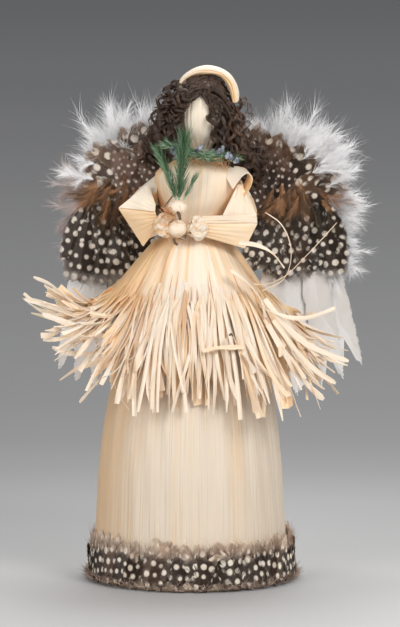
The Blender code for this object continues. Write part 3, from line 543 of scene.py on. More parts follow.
def thread_finish():
    """Twisted thread with a little fuzz."""
    f = Finish("waxed_thread", roughness=0.6)
    wave = f.node(
        "TexWave", {"bands_direction": "DIAGONAL"}, vector=f.place(), scale=900, distortion=1.5)
    twist = Value(f, wave.outputs["Fac"])
    fuzz = f.noise(f.place(), scale=3000, detail=2)
    f.bump(twist, 0.0001, 0.6)
    colour = f.mix(twist * 0.6 + fuzz * 0.4, (0.30, 0.21, 0.11), (0.62, 0.50, 0.33))
    return f.paint(colour, 0.5 + fuzz * 0.3)


def hair_finish():
    """Dark hair that shines a little and runs to red in some locks."""
    f = Finish("curly_mohair", roughness=0.36, specular_ior_level=0.6)
    across, length, tint = f.lie()
    strand = f.noise(f.vector(length * 350, tint * 190, across * 3000), detail=2)
    dark = f.mix(strand, (0.013, 0.008, 0.006), (0.130, 0.074, 0.048))
    colour = f.mix(f.clamp(tint, 0.30, 1.0), dark, (0.15, 0.075, 0.042))
    return f.paint(colour, 0.28 + strand * 0.25)


def green_finish():
    """Green needles, paler where the tint is high."""
    f = Finish("green_needles", roughness=0.5)
    across, length, tint = f.lie()
    mottle = f.noise(f.vector(across * 3000, length * 500, tint * 50), detail=2)
    deep = f.mix(mottle, (0.036, 0.105, 0.046), (0.165, 0.300, 0.140))
    colour = f.mix(f.clamp(tint, 0.30, 0.9), deep, (0.40, 0.54, 0.38))
    f.bump(mottle, 0.0001, 0.4)
    return f.paint(colour, 0.4 + mottle * 0.3)


def berry_finish():
    """Blue berries under a patchy bloom."""
    f = Finish("blue_berry", roughness=0.55)
    bloom = f.noise(f.place(), scale=900, detail=3)
    patch = f.noise(f.place(), scale=260, detail=2)
    dusty = f.clamp(bloom * 0.6 + patch * 0.6, 0.42, 0.78)
    colour = f.mix(dusty, (0.09, 0.11, 0.14), (0.44, 0.48, 0.55))
    f.bump(bloom, 0.00015, 0.4)
    return f.paint(colour, 0.4 + bloom * 0.35)


def spotted_finish(name, spacing, spot, growth, dark, brown, pale, brownness, fade):
    """Guinea fowl feather: pale round spots in staggered rows on dark barbs.

    Spacing is in metres, spot a share of it and growth how much larger the spots get to the tip.
    Fade says from where to where along the feather it fades, how much and to which colour."""
    f = Finish(name, roughness=0.55)
    across, length, tint = f.lie()
    patch = f.noise(f.vector(across * 900, length * 900, tint * 9), detail=2)
    row = length * (0.90 / spacing) + tint * 7.3
    row_index = row.math("FLOOR")
    column = across * (1 / spacing) + row_index * 0.5 + tint * 3.1
    own = f.node(
        "TexWhiteNoise", {"noise_dimensions": "3D"},
        vector=f.vector(row_index, column.math("FLOOR"), tint * 11),
    )
    parts = f.node("SeparateColor", color=own.outputs["Color"])
    chance_x, chance_y, chance_size = [Value(f, output) for output in parts.outputs]
    beside = column.math("FRACT") - 0.5 + (chance_x - 0.5) * 0.22
    above = (row.math("FRACT") - 0.5 + (chance_y - 0.5) * 0.22) * 1.08
    away = (beside * beside + above * above).math("SQRT") + (patch - 0.5) * 0.12
    size = spot * (0.72 + chance_size * 0.45) * (1 - growth + growth * f.clamp(length, 0.0, 0.030))
    spots = 1 - f.clamp(away - size, -0.07, 0.07)
    barbs = f.noise(f.vector(across * 350, length * 4200, tint * 13), detail=2)
    browned = f.clamp(tint * 0.45 + patch * 0.6 + brownness, 0.45, 1.0)
    ground = f.mix(browned, dark, brown)
    ground = f.mix(f.clamp(barbs, 0.5, 0.8) * 0.7, ground, brown)
    light = f.mix(patch, pale, (0.88, 0.82, 0.74))
    f.bump(barbs, 0.00012, 0.5)
    fade_from, fade_to, strength, faded = fade
    tips = f.clamp(length + (barbs - 0.5) * 0.006, fade_from, fade_to) * strength
    return f.paint(f.mix(tips, f.mix(spots, ground, light), faded), 0.45 + barbs * 0.3)


def plume_finish(name, light, shade, strength):
    """Plain feather: fine barbs, a little darker in streaks."""
    f = Finish(name)
    across, length, tint = f.lie()
    barbs = f.noise(f.vector(across * 700, length * 2400, tint * 23), detail=2)
    slow = f.noise(f.vector(across * 120, length * 60, tint * 37), detail=2)
    colour = f.mix(f.clamp(slow * 0.6 + tint * 0.6 + barbs * 0.2, 0.3, 1.0) * strength, light, shade)
    f.bump(barbs, 0.0001, 0.3)
    return f.paint(colour, 0.5 + barbs * 0.3)


HUSK = husk_finish("corn_husk", (0.96, 0.805, 0.645), (0.90, 0.57, 0.30), (0.86, 0.59, 0.36))
SKIRT_HUSK = husk_finish("skirt_husk", (0.85, 0.70, 0.56), (0.84, 0.55, 0.32), (0.68, 0.46, 0.28))
# Reddish husk for the loose fibres, and the colour of the painted slit shade on the dome.
SHADE_AND_REDDISH_HUSK = husk_finish("warm_husk", (0.74, 0.42, 0.22), (0.52, 0.20, 0.08), (0.40, 0.16, 0.07))
ROLLED = inner_husk_finish("rolled_husk", (0.80, 0.64, 0.44), (0.66, 0.42, 0.22))
WADDING = inner_husk_finish("husk_wadding", (0.70, 0.58, 0.42), (0.52, 0.36, 0.20))
THREAD = thread_finish()
HAIR = hair_finish()
GREEN = green_finish()
BERRY = berry_finish()
SPOTTED = spotted_finish(
    "spotted_feather", 0.0049, 0.30, 0.2, (0.040, 0.029, 0.021), (0.160, 0.105, 0.070),
    (0.86, 0.78, 0.67), 0.0, (0.0300, 0.0360, 0.55, (0.58, 0.53, 0.49)))
BIG_SPOTTED = spotted_finish(
    "big_spotted_feather", 0.0064, 0.30, 0.35, (0.046, 0.030, 0.021), (0.19, 0.108, 0.066),
    (0.88, 0.79, 0.66), 0.15, (0.027, 0.038, 0.6, (0.34, 0.23, 0.16)))
HEM_SPOTTED = spotted_finish(
    "hem_spotted_feather", 0.0048, 0.31, 0.1, (0.034, 0.023, 0.016), (0.16, 0.10, 0.068),
    (0.84, 0.74, 0.60), 0.05, (0.0155, 0.0210, 0.70, (0.84, 0.66, 0.51)))
SMALL_SPOTTED = spotted_finish(
    "small_spotted_feather", 0.0036, 0.23, 0.2, (0.042, 0.029, 0.023), (0.19, 0.115, 0.082),
    (0.78, 0.68, 0.56), 0.12, (0.018, 0.030, 0.7, (0.20, 0.115, 0.08)))
WHITE = plume_finish("white_feather", (0.97, 0.96, 0.95), (0.84, 0.80, 0.75), 0.8)
FLUFF = plume_finish("white_fluff", (0.97, 0.97, 0.97), (0.84, 0.82, 0.82), 0.5)
RUST = plume_finish("rust_fluff", (0.55, 0.275, 0.125), (0.12, 0.068, 0.036), 1.0)
OLIVE = plume_finish("olive_fluff", (0.15, 0.10, 0.05), (0.040, 0.028, 0.020), 1.0)
PINK = plume_finish("pinkish_down", (0.76, 0.65, 0.61), (0.34, 0.25, 0.22), 0.9)
HEM_DOWN = plume_finish("hem_down", (0.60, 0.45, 0.35), (0.20, 0.13, 0.10), 1.0)


# Skirt

SKIRT_SWELL = 0.0019
CREASE_DEPTH = 0.00035
# Warm streaks in the skirt: sideways place as a share of the radius, width and strength
SKIRT_STREAKS = ((0.49, 0.10, 0.30), (-0.21, 0.03, 0.25), (-0.93, 0.06, 0.25))


def streaks_at(table, turn):
    """How warm a few streaks make the husk."""
    return sum(strength * band_at(np.sin(turn), aside, wide) for aside, wide, strength in table)


def lining_radius(share):
    """Radius of the stiff cone under the skirt, by its height share."""
    flat = along(SKIRT_SHARES, share)[..., 0]
    bent = smooth_along(SKIRT_SHARES, share)[..., 0]
    return LINING_WAIST_RADIUS + (LINING_HEM_RADIUS - LINING_WAIST_RADIUS) * np.maximum(flat, bent)


def off_lining(share, offset):
    """(radius, height) of points that far outside the lining, square to it."""
    low, high = np.maximum(0, share - 0.02), np.minimum(1, share + 0.02)
    rise = (high - low) * SKIRT_HEIGHT
    run = lining_radius(high) - lining_radius(low)
    length = np.hypot(rise, run)
    return lining_radius(share) + offset * rise / length, share * SKIRT_HEIGHT - offset * run / length


def pleats(turn, share):
    """How far the skirt's soft pleats stand out."""
    wave = sum(part * (1 + np.cos(times * turn + phase)) for part, times, phase in PLEAT_SHARES)
    return FOLD_DEPTH * (1 - share) * wave


def left_swell(turn, share):
    """The skirt stands out a little more on its left side, but not at the very hem."""
    above_hem = (1 - np.clip(share * 1.6, 0, 1)) * np.clip(share * 40, 0, 1)
    return SKIRT_SWELL * np.clip(-np.sin(turn), 0, 1) ** 2 * above_hem


def skirt_leaf(index):
    """One broad husk that laps over the next, with its veins, soft pleats and a loose belly."""
    bundle, chance = start_piece(f"skirt_leaf_{index + 1}")
    columns, rows = 92, 40
    each = SKIRT_COLUMNS // HUSK_PANELS
    column = np.linspace(0, each + 2, columns)
    foot = HEM_CLEARANCE / SKIRT_HEIGHT
    share, column = np.meshgrid(np.linspace(foot, 1, rows), column, indexing="ij")
    turn = FULL_TURN * (index * each - 1 + column) / SKIRT_COLUMNS
    climb = HUSK_RISE * column / (each + 2)
    belly = np.sin(math.pi * np.clip(share * 1.25, 0, 1)) * (1 - np.sin(turn)) * 0.0011
    belly = belly + left_swell(turn, share)
    across = turn * LINING_HEM_RADIUS
    veins = ripple(chance, across * 1000, waves=5, reach=0.55) * 0.00007
    creases = ripple(chance, turn, share * 0.35, waves=5, reach=5.0)
    creases = creases * CREASE_DEPTH * np.sin(math.pi * share)
    edge = np.minimum(column, each + 2 - column)
    closed = 0.0005 * np.exp(-((each + 2 - column) * 1.1) ** 2)
    offset = LAP_GAP + HUSK_WALL / 2 + climb + pleats(turn, share) + belly
    offset = offset + (veins + creases + 0.0004) * np.clip(edge * 1.5, 0, 1) - closed
    radius, height = off_lining(share, offset)
    face = round_axis(turn, radius, np.maximum(height, HEM_CLEARANCE * 0.6))
    # Painted shade: the tint makes the husk warmer and darker on the left side, at each leaf's lapped
    # edge, high up under the overskirt and in the crease valleys.
    left = np.clip((-np.sin(turn) - 0.50) / 0.5, 0, 1)
    tint = 0.10 * chance.random() + 0.04 * np.exp(-edge * 3.0) + 0.72 * left
    tint = tint + streaks_at(SKIRT_STREAKS, turn)
    tint = tint + 0.5 * np.clip(share - 0.62, 0, 1)
    tint = tint + 0.35 * np.clip(-creases / CREASE_DEPTH, 0, 1) * share
    lies = np.stack((across, share * SKIRT_HEIGHT, tint), -1)
    bundle.leaves(face[None], lies, HUSK_WALL * 0.55)
    bundle.piece(SKIRT_HUSK, "corn_husk", f"skirt_husk_{index + 1}")


# Overskirt

def flare(turn):
    """How far the overskirt's left side stands out more, from 0 to 1, and its right side a little."""
    degrees = np.degrees(turn)
    return np.exp(-((degrees + 88) / 34) ** 4) + 0.25 * np.exp(-((degrees - 80) / 34) ** 4)


# Warm streaks in the dome, as in the skirt
DOME_STREAKS = (
    (-0.13, 0.030, 0.75), (0.27, 0.035, 0.40), (0.46, 0.040, 0.50), (-0.34, 0.030, 0.30),
    (-0.56, 0.050, 0.45), (0.66, 0.040, 0.35),
)
GATHER_DEPTH = 0.00025
STRIP_WALL = 0.00022
STRIP_ROWS = 20
SLIT_WALL = 0.00012


def side_shade(turn):
    """Painted shade: the husk is warmer and darker at the sides, which turn away from the light, most of
    all on the left.
    """
    return np.clip((np.abs(np.degrees(turn)) - 20) / 50, 0, 1) * np.where(turn < 0, 0.95, 0.60)


def dome_point(share, turn):
    """(radius, height) down the smooth dome at the waist."""
    spread = smooth_along(DOME_SHARES, share)[..., 0]
    radius = COLLAR_RADIUS + (PEPLUM_RADIUS - COLLAR_RADIUS) * spread
    radius = radius + LEFT_FLARE * flare(turn) * share ** 1.2
    return np.stack((radius, COLLAR_TOP - PEPLUM_DROP * share), -1)


def strip_path(turn, longer, rise, bend, count):
    """(radius, height) down a strip, which leaves the dome and bends to its own tip."""
    reach, height = along(STRIP_SHARES, math.degrees(turn))
    start = dome_point(np.array(1.0), turn)
    tip = np.array((STRIP_REACH * reach, SLIT_HEIGHT * height))
    tip = start + (tip - start) * longer + (0, rise)
    lean = unit(start - dome_point(np.array(0.63), turn))
    knee = start + lean * np.linalg.norm(tip - start) * bend
    part = np.linspace(0, 1, count)[:, None]
    return start * (1 - part) ** 2 + knee * 2 * part * (1 - part) + tip * part ** 2


def dome_sector(first, count):
    """The part of the dome over some columns of the skirt."""
    part, column = grid_of(1.03, 22, count, count * 5 + 1)
    turn = FULL_TURN * (first + column) / SKIRT_COLUMNS
    profile = dome_point(np.clip(part, 0, 1), np.where(turn > math.pi, turn - FULL_TURN, turn))
    radius, height = profile[..., 0], profile[..., 1] - np.maximum(part - 1, 0) * PEPLUM_DROP
    gathers = ripple(chance_for("dome"), turn, waves=6, reach=18.0) * GATHER_DEPTH
    soft = ripple(chance_for("dome_soft"), turn, part * 0.2, waves=4, reach=5.0) * 0.0005
    radius = radius + (gathers + soft) * np.clip(part * 3, 0, 1) - PEPLUM_WALL * 0.4
    face = round_axis(-turn, radius, height)
    face[..., 0] *= -1
    face = face[:, ::-1]
    across = turn[:, ::-1] * PEPLUM_RADIUS
    streaks = streaks_at(DOME_STREAKS, turn) * np.clip(np.cos(turn) * 5, 0, 1)
    tint = 0.03 + side_shade(turn) + streaks
    # Painted shade in the valleys of the gathers.
    tint = tint + 0.35 * np.clip(-gathers / GATHER_DEPTH - 0.3, 0, 1) * part
    lies = np.stack((across, part * PEPLUM_DROP, tint[:, ::-1]), -1)
    return face[None], lies


def strip_leaf(path, turns, widths, fold, twist, tint, columns=5):
    """A torn strip: it follows (radius, height) at its turns, folded along its middle."""
    centre = round_axis(turns, path[:, 0], path[:, 1])
    ahead = unit(np.gradient(centre, axis=0))
    outward = round_axis(turns, 1.0, 0.0)
    across = unit(np.cross(outward, ahead))
    across = turned_about(across, ahead, twist)
    normal = np.cross(ahead, across)
    spread = np.linspace(-0.5, 0.5, columns)
    valley = fold * (0.5 - np.abs(spread)) * 2
    face = centre[:, None] + across[:, None] * (widths[:, None] * spread)[..., None]
    face = face + normal[:, None] * (widths[:, None] * valley)[..., None]
    length = np.cumsum(np.linalg.norm(np.diff(centre, axis=0, prepend=centre[:1]), axis=1))
    lies = np.stack(np.broadcast_arrays(
        widths[:, None] * spread + tint * 0.37, length[:, None], tint), -1)
    return face, lies


def strip_layer(chance, first, last, count, start, width, lift, longer, tints, droop, loose):
    """A layer of strips side by side, each with its own length, lean, twist and curl.
    Loose is how far its root may stray from its even place."""
    faces, lies = [], []
    for index in range(count):
        root = (last - first) / count
        turn = math.radians(first + root * (index + 0.5 + chance.uniform(-0.5, 0.5) * loose))
        begin = min(0.96, start + chance.uniform(-0.20, 0.14))
        dome = dome_point(np.linspace(begin, 0.98, 6), turn)
        aside = abs(math.sin(turn))
        fall = strip_path(
            turn, longer * chance.uniform(0.74 - 0.16 * loose, 1.03) * (0.87 + 0.13 * aside ** 4),
            chance.normal(0, 0.0055) * aside - droop, 0.40 + 0.22 * aside + chance.uniform(-0.08, 0.10),
            STRIP_ROWS - 6)
        path = np.concatenate((dome, fall))
        part = np.linspace(0, 1, STRIP_ROWS)
        free = np.clip(part * 1.45 - 0.45, 0, 1)
        rise = np.clip(part * 5, 0, 1) if loose else 1.0
        path[:, 0] += lift * rise - 0.0009 * (1 - rise) + chance.uniform(-0.0012, 0.0028) * free
        wave = chance.normal(0, 0.0016) * np.sin(free * chance.uniform(2.5, 7))
        wave = wave + chance.normal(0, 0.0022) * free ** 3
        path[:, 1] += wave * (0.35 + 0.65 * aside)
        path[:, 0] += wave * (0.55 - 0.45 * aside)
        bow = chance.normal(0, 0.035) * np.sin(math.pi * free) + chance.normal(0, 0.045) * free ** 1.5
        bow = bow * (1 + loose)
        even = math.radians(root) * path[:, 0] * 1.04
        own = width * chance.choice((0.55, 0.8, 1.0, 1.25, 1.6), p=(0.22, 0.28, 0.25, 0.17, 0.08))
        if loose:
            widths = own * np.clip(part * 2.8 - 0.10, 0.05, 1)
        else:
            widths = np.where(free > 0, np.minimum(even, own * 1.1), even)
            widths = even * np.clip(1 - free * 6, 0, 1) + widths * np.clip(free * 6, 0, 1)
        widths *= 1 - 0.18 * free
        if chance.random() < 0.35:
            widths *= np.clip((1.03 - part) * 7, 0.12, 1)
        settle = chance.normal(0, 0.22) * (1 if loose else np.clip(free * 4, 0, 1))
        twist = chance.normal(0, 0.75) * free ** 2 + settle + chance.choice((0, 0, 0, 2.2)) * free ** 2
        hollow = chance.uniform(-0.34, 0.34) * np.clip(free * 4, 0.0 if not loose else 0.5, 1)
        face, lie = strip_leaf(path, turn + bow, widths, hollow[:, None], twist, chance.uniform(*tints))
        # Painted shade: each strip's root takes the dome's side shade, more where a loose strip comes out
        # from under the dome, and each strip is warmer at its knee.
        shade = 0.03 + side_shade(turn) + (0.25 if loose else 0.0)
        lie[..., 2] += ((shade - lie[0, 0, 2]) * np.clip(1 - free * 2.5, 0, 1))[:, None]
        lie[..., 2] += 0.14 * band_at(part, 0.45, 0.14)[:, None]
        faces.append(face)
        lies.append(lie)
    return np.array(faces), np.array(lies)


# Node, first of the skirt's columns and how many columns it covers
PEPLUM_SECTORS = (
    ("peplum_front_left", -8, 8), ("peplum_front_right", 0, 8), ("peplum_side_left", -18, 10),
    ("peplum_side_right", 8, 10), ("peplum_back", 18, 12),
)
# Strips for each 7.5 degrees, where on the dome they start, width, lift off the dome, share of the
# full length, range of tints, droop and how loose they lie
# The lower layers get warmer tints: painted shade in the gaps between the strips over them.
PEPLUM_LAYERS = (
    (2.6, 0.95, 0.0046, -0.0014, 0.84, (0.35, 0.70), 0.005, 1.0),
    (2.7, 0.90, 0.0032, 0.0001, 1.00, (0.00, 0.25), 0.001, 0.0),
    (1.7, 0.93, 0.0036, -0.0007, 0.98, (0.10, 0.45), 0.002, 1.0),
    (1.5, 0.86, 0.0018, 0.0008, 0.97, (0.00, 0.20), -0.001, 1.0),
)


def peplum():
    """The overskirt: five sectors of dome, each with four layers of torn strips."""
    for name, first, count in PEPLUM_SECTORS:
        chance = chance_for(name)
        low = 360 / SKIRT_COLUMNS * first
        high = low + 360 / SKIRT_COLUMNS * count
        bundle = Bundle(name + "_strips")
        face, lie = dome_sector(first, count)
        bundle.leaves(face, lie, PEPLUM_WALL)
        spans = [(low, 180), (-180, high - 360)] if high > 180 else [(low, high)]
        for left, right in spans:
            share = (right - left) / 7.5
            for each, *layer in PEPLUM_LAYERS:
                strips = max(2, round(share * each))
                faces, lies = strip_layer(chance, left, right, strips, *layer)
                bundle.leaves(faces, lies, STRIP_WALL)
        bundle.piece(HUSK, "corn_husk", name)


def slits():
    """Painted shade in the torn slits that open downwards in the dome: thin dark warm strips laid on it,
    seen as lines between the strips.
    """
    bundle, chance = start_piece("slits")
    faces, lies = [], []
    for _ in range(30):
        turn = math.radians(chance.uniform(-72, 72))
        share = np.linspace(chance.uniform(0.50, 0.92), 0.99, 8)
        path = np.concatenate((dome_point(share, turn), strip_path(turn, 0.8, 0.0, 0.4, 18)[1:5]))
        path[:, 0] += 0.00038
        part = np.linspace(0, 1, 12)
        widths = chance.uniform(0.0004, 0.0010) * np.clip(part * 1.3, 0.05, 1)
        face, lie = strip_leaf(path, turn, widths, -0.2, 0.0, chance.uniform(0, 0.5), columns=3)
        faces.append(face)
        lies.append(lie)
    bundle.leaves(np.array(faces), np.array(lies), SLIT_WALL)
    # A wider strip of painted shade for the deepest slit, a little left of the middle.
    deepest = math.radians(-7)
    fall = strip_path(deepest, 0.8, 0.0, 0.4, 18)[1:10]
    path = np.concatenate((dome_point(np.linspace(0.86, 0.99, 5), deepest), fall))
    path[:, 0] += 0.0016
    widths = 0.0020 * np.sin(math.pi * np.linspace(0.03, 0.96, 14) ** 0.8)
    face, lie = strip_leaf(path, deepest, widths, -0.2, 0.0, 0.1, columns=3)
    bundle.leaves(face[None], lie[None], SLIT_WALL)
    bundle.piece(SHADE_AND_REDDISH_HUSK, "corn_husk")


# Middle line in metres, width and tint of the strips that lie loose on the others
LOOSE_STRIPS = (
    (((0.0358, -0.022, 0.1869), (0.0433, -0.026, 0.1819), (0.0478, -0.028, 0.1731),
     (0.0483, -0.028, 0.1630), (0.0453, -0.026, 0.1546), (0.0343, -0.020, 0.1473)), 0.0012, 0.35),
    (((0.0713, -0.024, 0.1821), (0.0623, -0.026, 0.1723), (0.0533, -0.027, 0.1629),
     (0.0458, -0.027, 0.1558), (0.0373, -0.025, 0.1515), (0.0300, -0.020, 0.1506)), 0.0009, 0.45),
    (((0.0225, -0.0235, 0.1720), (0.0323, -0.026, 0.1708), (0.0398, -0.027, 0.1669),
     (0.0453, -0.027, 0.1598)), 0.0034, 0.0),
    (((0.0330, -0.0235, 0.1400), (0.0408, -0.028, 0.1373), (0.0493, -0.031, 0.1352),
     (0.0583, -0.032, 0.1358), (0.0643, -0.032, 0.1378), (0.0703, -0.031, 0.1402)), 0.0028, 0.0),
    (((0.0185, -0.0295, 0.1590), (0.0248, -0.029, 0.1545), (0.0303, -0.028, 0.1487),
     (0.0343, -0.027, 0.1420), (0.0358, -0.027, 0.1350)), 0.0034, 0.05),
    (((0.0048, -0.0462, 0.1208), (0.0108, -0.0465, 0.1223), (0.0183, -0.0455, 0.1226),
     (0.0248, -0.0435, 0.1224)), 0.0030, 0.40),
    (((0.0250, -0.0455, 0.1205), (0.0275, -0.0455, 0.1155), (0.0302, -0.0445, 0.1095)), 0.0046,
     0.0),
    (((-0.0798, -0.010, 0.1529), (-0.0718, -0.012, 0.1497), (-0.0638, -0.014, 0.1434),
     (-0.0548, -0.016, 0.1376), (-0.0443, -0.018, 0.1354), (-0.0310, -0.018, 0.1410)), 0.0023, 0.1),
    (((-0.0843, -0.008, 0.1415), (-0.0743, -0.012, 0.1396), (-0.0643, -0.015, 0.1360),
     (-0.0518, -0.018, 0.1323), (-0.0393, -0.021, 0.1302), (-0.0285, -0.021, 0.1370)), 0.0032, 0.2),
    (((-0.0753, -0.014, 0.1348), (-0.0668, -0.018, 0.1323), (-0.0543, -0.022, 0.1278),
     (-0.0418, -0.025, 0.1252), (-0.0300, -0.0245, 0.1310)), 0.0042, 0.0),
    (((-0.0703, -0.018, 0.1187), (-0.0643, -0.021, 0.1166), (-0.0543, -0.025, 0.1162),
     (-0.0418, -0.028, 0.1186), (-0.0300, -0.0275, 0.1270)), 0.0036, 0.05),
    (((-0.0668, -0.022, 0.1026), (-0.0593, -0.025, 0.1081), (-0.0493, -0.028, 0.1125),
     (-0.0393, -0.030, 0.1189), (-0.0290, -0.0285, 0.1300)), 0.0042, 0.25),
    (((-0.0568, -0.027, 0.0922), (-0.0508, -0.029, 0.0995), (-0.0428, -0.031, 0.1089),
     (-0.0340, -0.0305, 0.1220)), 0.0046, 0.15),
    (((0.0773, -0.022, 0.1122), (0.0683, -0.025, 0.1157), (0.0558, -0.028, 0.1221),
     (0.0458, -0.029, 0.1313), (0.0355, -0.026, 0.1440)), 0.0036, 0.05),
    (((0.0708, -0.026, 0.1016), (0.0608, -0.029, 0.1086), (0.0508, -0.031, 0.1190),
     (0.0400, -0.0295, 0.1340)), 0.0036, 0.2),
    (((0.0648, -0.029, 0.0939), (0.0558, -0.032, 0.1029), (0.0468, -0.033, 0.1153),
     (0.0370, -0.0315, 0.1320)), 0.0040, 0.1),
    (((0.0163, -0.0435, 0.1270), (0.0173, -0.0460, 0.1135), (0.0193, -0.0475, 0.1035),
     (0.0223, -0.0465, 0.0974)), 0.0046, 0.05),
    (((-0.0395, -0.033, 0.1085), (-0.0388, -0.036, 0.1010), (-0.0355, -0.039, 0.0950),
     (-0.0320, -0.040, 0.0905)), 0.0004, 0.5),
)


def loose_strips():
    """The strips that lie loose on the others, each along a line of its own."""
    bundle, chance = start_piece("loose_strips")
    faces, lies = [], []
    for points, width, tint in LOOSE_STRIPS:
        line = line_through(points, 22)
        part = np.linspace(0, 1, 22)
        radius, turns = np.hypot(line[:, 0], line[:, 1]), np.arctan2(line[:, 0], -line[:, 1])
        waviness = 1 + 0.12 * np.sin(part * 9 + chance.uniform(0, 6))
        widths = width * 0.74 * waviness * np.clip(part * 14 + 0.5, 0, 1)
        twist = 0.35 * np.sin(part * chance.uniform(2, 6) + chance.uniform(0, 6)) - 0.45
        path = np.column_stack((radius, line[:, 2]))
        face, lie = strip_leaf(path, turns, widths, chance.uniform(-0.25, 0.25), twist, tint)
        faces.append(face)
        lies.append(lie)
    bundle.leaves(np.array(faces), np.array(lies), STRIP_WALL)
    bundle.piece(HUSK, "corn_husk")


# Torso

def bodice_rows():
    """(height, half width, half depth, middle) from the tuck at the waist to the neck."""
    waist = BODICE_WAIST_RADIUS
    opening = NECK_RADIUS + GAP * 2 + 0.0008
    foot = COLLAR_TOP + GAP
    rows = [(SKIRT_HEIGHT + GAP + LINING_WALL, waist, waist, 0), (foot, waist, waist, 0)]
    for up, width, depth, shift in BODICE_SHARES:
        height = foot + (NECK_HEIGHT - foot) * up
        half_width, half_depth = BODICE_HALF_WIDTH * width, BODICE_HALF_DEPTH * depth
        rows.append((height, half_width, half_depth, SHOULDER_SHIFT * shift))
    rows.append((NECK_HEIGHT, opening, opening, HEAD_SHIFT))
    return rows


def bodice_half(name, front, node):
    """The front or back of the bodice, one wrapped husk with fine creases."""
    bundle, chance = start_piece(name)
    table = bodice_rows()
    heights = np.linspace(table[0][0], table[-1][0], 44)
    height, part = np.meshgrid(heights, np.linspace(-1, 1, 80), indexing="ij")
    width, depth, _ = np.moveaxis(np.maximum(along(table, height), smooth_along(table, height)), -1, 0)
    middle = along(table, height)[..., 2]
    reach = np.where(height < COLLAR_TOP + 0.004, math.radians(84), math.radians(76))
    turn = reach * part + (0 if front else math.pi)
    up = (height - heights[0]) / (heights[-1] - heights[0])
    veins = ripple(chance, part * 20, waves=5, reach=2.2) * 0.00006
    creases = ripple(chance, part, up * 0.3, waves=5, reach=2.4) * 0.0005 * np.sin(math.pi * up)
    lift = BODICE_WALL / 2 + 0.0002 + veins + creases
    face = np.stack((middle + (width + lift) * np.sin(turn), -(depth + lift) * np.cos(turn), height), -1)
    # Painted shade: warmer towards the sides where the husk wraps round, at the top by the neck, and low
    # on the right beside the sleeve. A narrow warm line also runs just right of the middle.
    tint = 0.20 + 0.70 * np.abs(part) ** 3 + 0.5 * band_at(height, NECK_HEIGHT - 0.002, 0.0035)
    tint = tint + 0.40 * band_at(part, 0.05, 0.03)
    tint = tint + 0.45 * band_at(part, 0.60, 0.14) * (1 - up)
    lies = np.stack((part * BODICE_HALF_WIDTH * 1.4, height, tint), -1)
    bundle.leaves(face[None], lies, BODICE_WALL)
    if front:
        shoulder_roll(bundle)
    bundle.piece(HUSK, "corn_husk", node)


# Near and far edge in metres of the husk that is rolled back over the right shoulder
SHOULDER_NEAR = (
    (0.0196, 0.1976), (0.0222, 0.2013), (0.0246, 0.2043), (0.0273, 0.2055), (0.0291, 0.2036),
    (0.0290, 0.2004), (0.0277, 0.1974), (0.0259, 0.1944),
)
SHOULDER_FAR = (
    (0.0135, 0.2072), (0.0176, 0.2077), (0.0230, 0.2076), (0.0262, 0.2064), (0.0270, 0.2038),
    (0.0260, 0.2006), (0.0248, 0.1978), (0.0238, 0.1952),
)


def shoulder_roll(bundle):
    """The bodice's husk rolled back over the right shoulder, like a loop."""
    near = line_through([(x, -0.0135, z) for x, z in SHOULDER_NEAR], 34)
    far = line_through([(x, -0.0050, z) for x, z in SHOULDER_FAR], 34)
    row = np.linspace(0, 1, 14)[None, :, None]
    face = near[:, None] * (1 - row) + far[:, None] * row
    part, across = grid_of(1, 34, 0.012, 14)
    # The tint rises along the roll: painted shade on the inside of the loop.
    lies = np.stack((across, part * 0.03, np.clip(part * 3.0 - 1.3, 0.05, 1.0)), -1)
    bundle.leaves(face[None, :, ::-1], lies[:, ::-1], FOLD_WALL)


# Arms

FOLD_WALL = 0.0004
RUFFLE_WALL = 0.0003
CUFF_FIBRE = 0.006
# Radius and length as shares of the cuff's, and folds round it
RUFFLES = ((0.86, 1.5, 8), (0.64, 1.9, 6))


def side_of_bodice(side):
    """How far out a sleeve starts."""
    widest = max(width + side * middle for _, width, _, middle in bodice_rows())
    return side * (widest + BODICE_WALL + GAP)


def sleeve_frames(side, table):
    """For each ring: its middle, half its long axis, and half its depth axis."""
    table = np.array(table)
    origin = np.array((side_of_bodice(side), 0, SHOULDER_HEIGHT))
    inner = np.stack((side * table[:, 0], -table[:, 4], table[:, 1]), -1) * ARM_SIZE + origin
    outer = np.stack((side * table[:, 2], -table[:, 4], table[:, 3]), -1) * ARM_SIZE + origin
    middle, long_axis = (inner + outer) / 2, (outer - inner) / 2
    first, last = middle[1:2] - middle[:1], middle[-1:] - middle[-2:-1]
    travel = np.concatenate((first, middle[2:] - middle[:-2], last))
    travel[0, 1] = 0
    depth_axis = unit(np.cross(travel, long_axis)) * (table[:, 5] * ARM_SIZE)[:, None]
    return middle, long_axis, depth_axis


# Folds of the sleeves: the gathered edge, the wide edge (both in metres), pleats and tint; the lower
# folds have higher tints, painted shade
SLEEVE_FOLDS = {
    "left": (
        (((-0.0189, -0.0150, 0.1899), (-0.0190, -0.0205, 0.1870)),
         ((-0.0225, -0.0070, 0.1993), (-0.0372, -0.0115, 0.1880)), 4, 0.05),
        (((-0.0188, -0.0208, 0.1868), (-0.0172, -0.0198, 0.1800)),
         ((-0.0374, -0.0118, 0.1878), (-0.0250, -0.0150, 0.1690)), 6, 0.72),
    ),
    "right": (
        (((0.0222, -0.0095, 0.1994), (0.0242, -0.0085, 0.1990)),
         ((0.0143, -0.0165, 0.1843), (0.0315, -0.0135, 0.1845)), 5, 0.22),
        (((0.0046, -0.0222, 0.1850), (0.0046, -0.0228, 0.1815)),
         ((0.0313, -0.0140, 0.1850), (0.0318, -0.0148, 0.1805)), 3, 0.25),
        (((0.0046, -0.0226, 0.1815), (0.0044, -0.0212, 0.1750)),
         ((0.0318, -0.0150, 0.1803), (0.0256, -0.0175, 0.1683)), 5, 0.52),
    ),
}


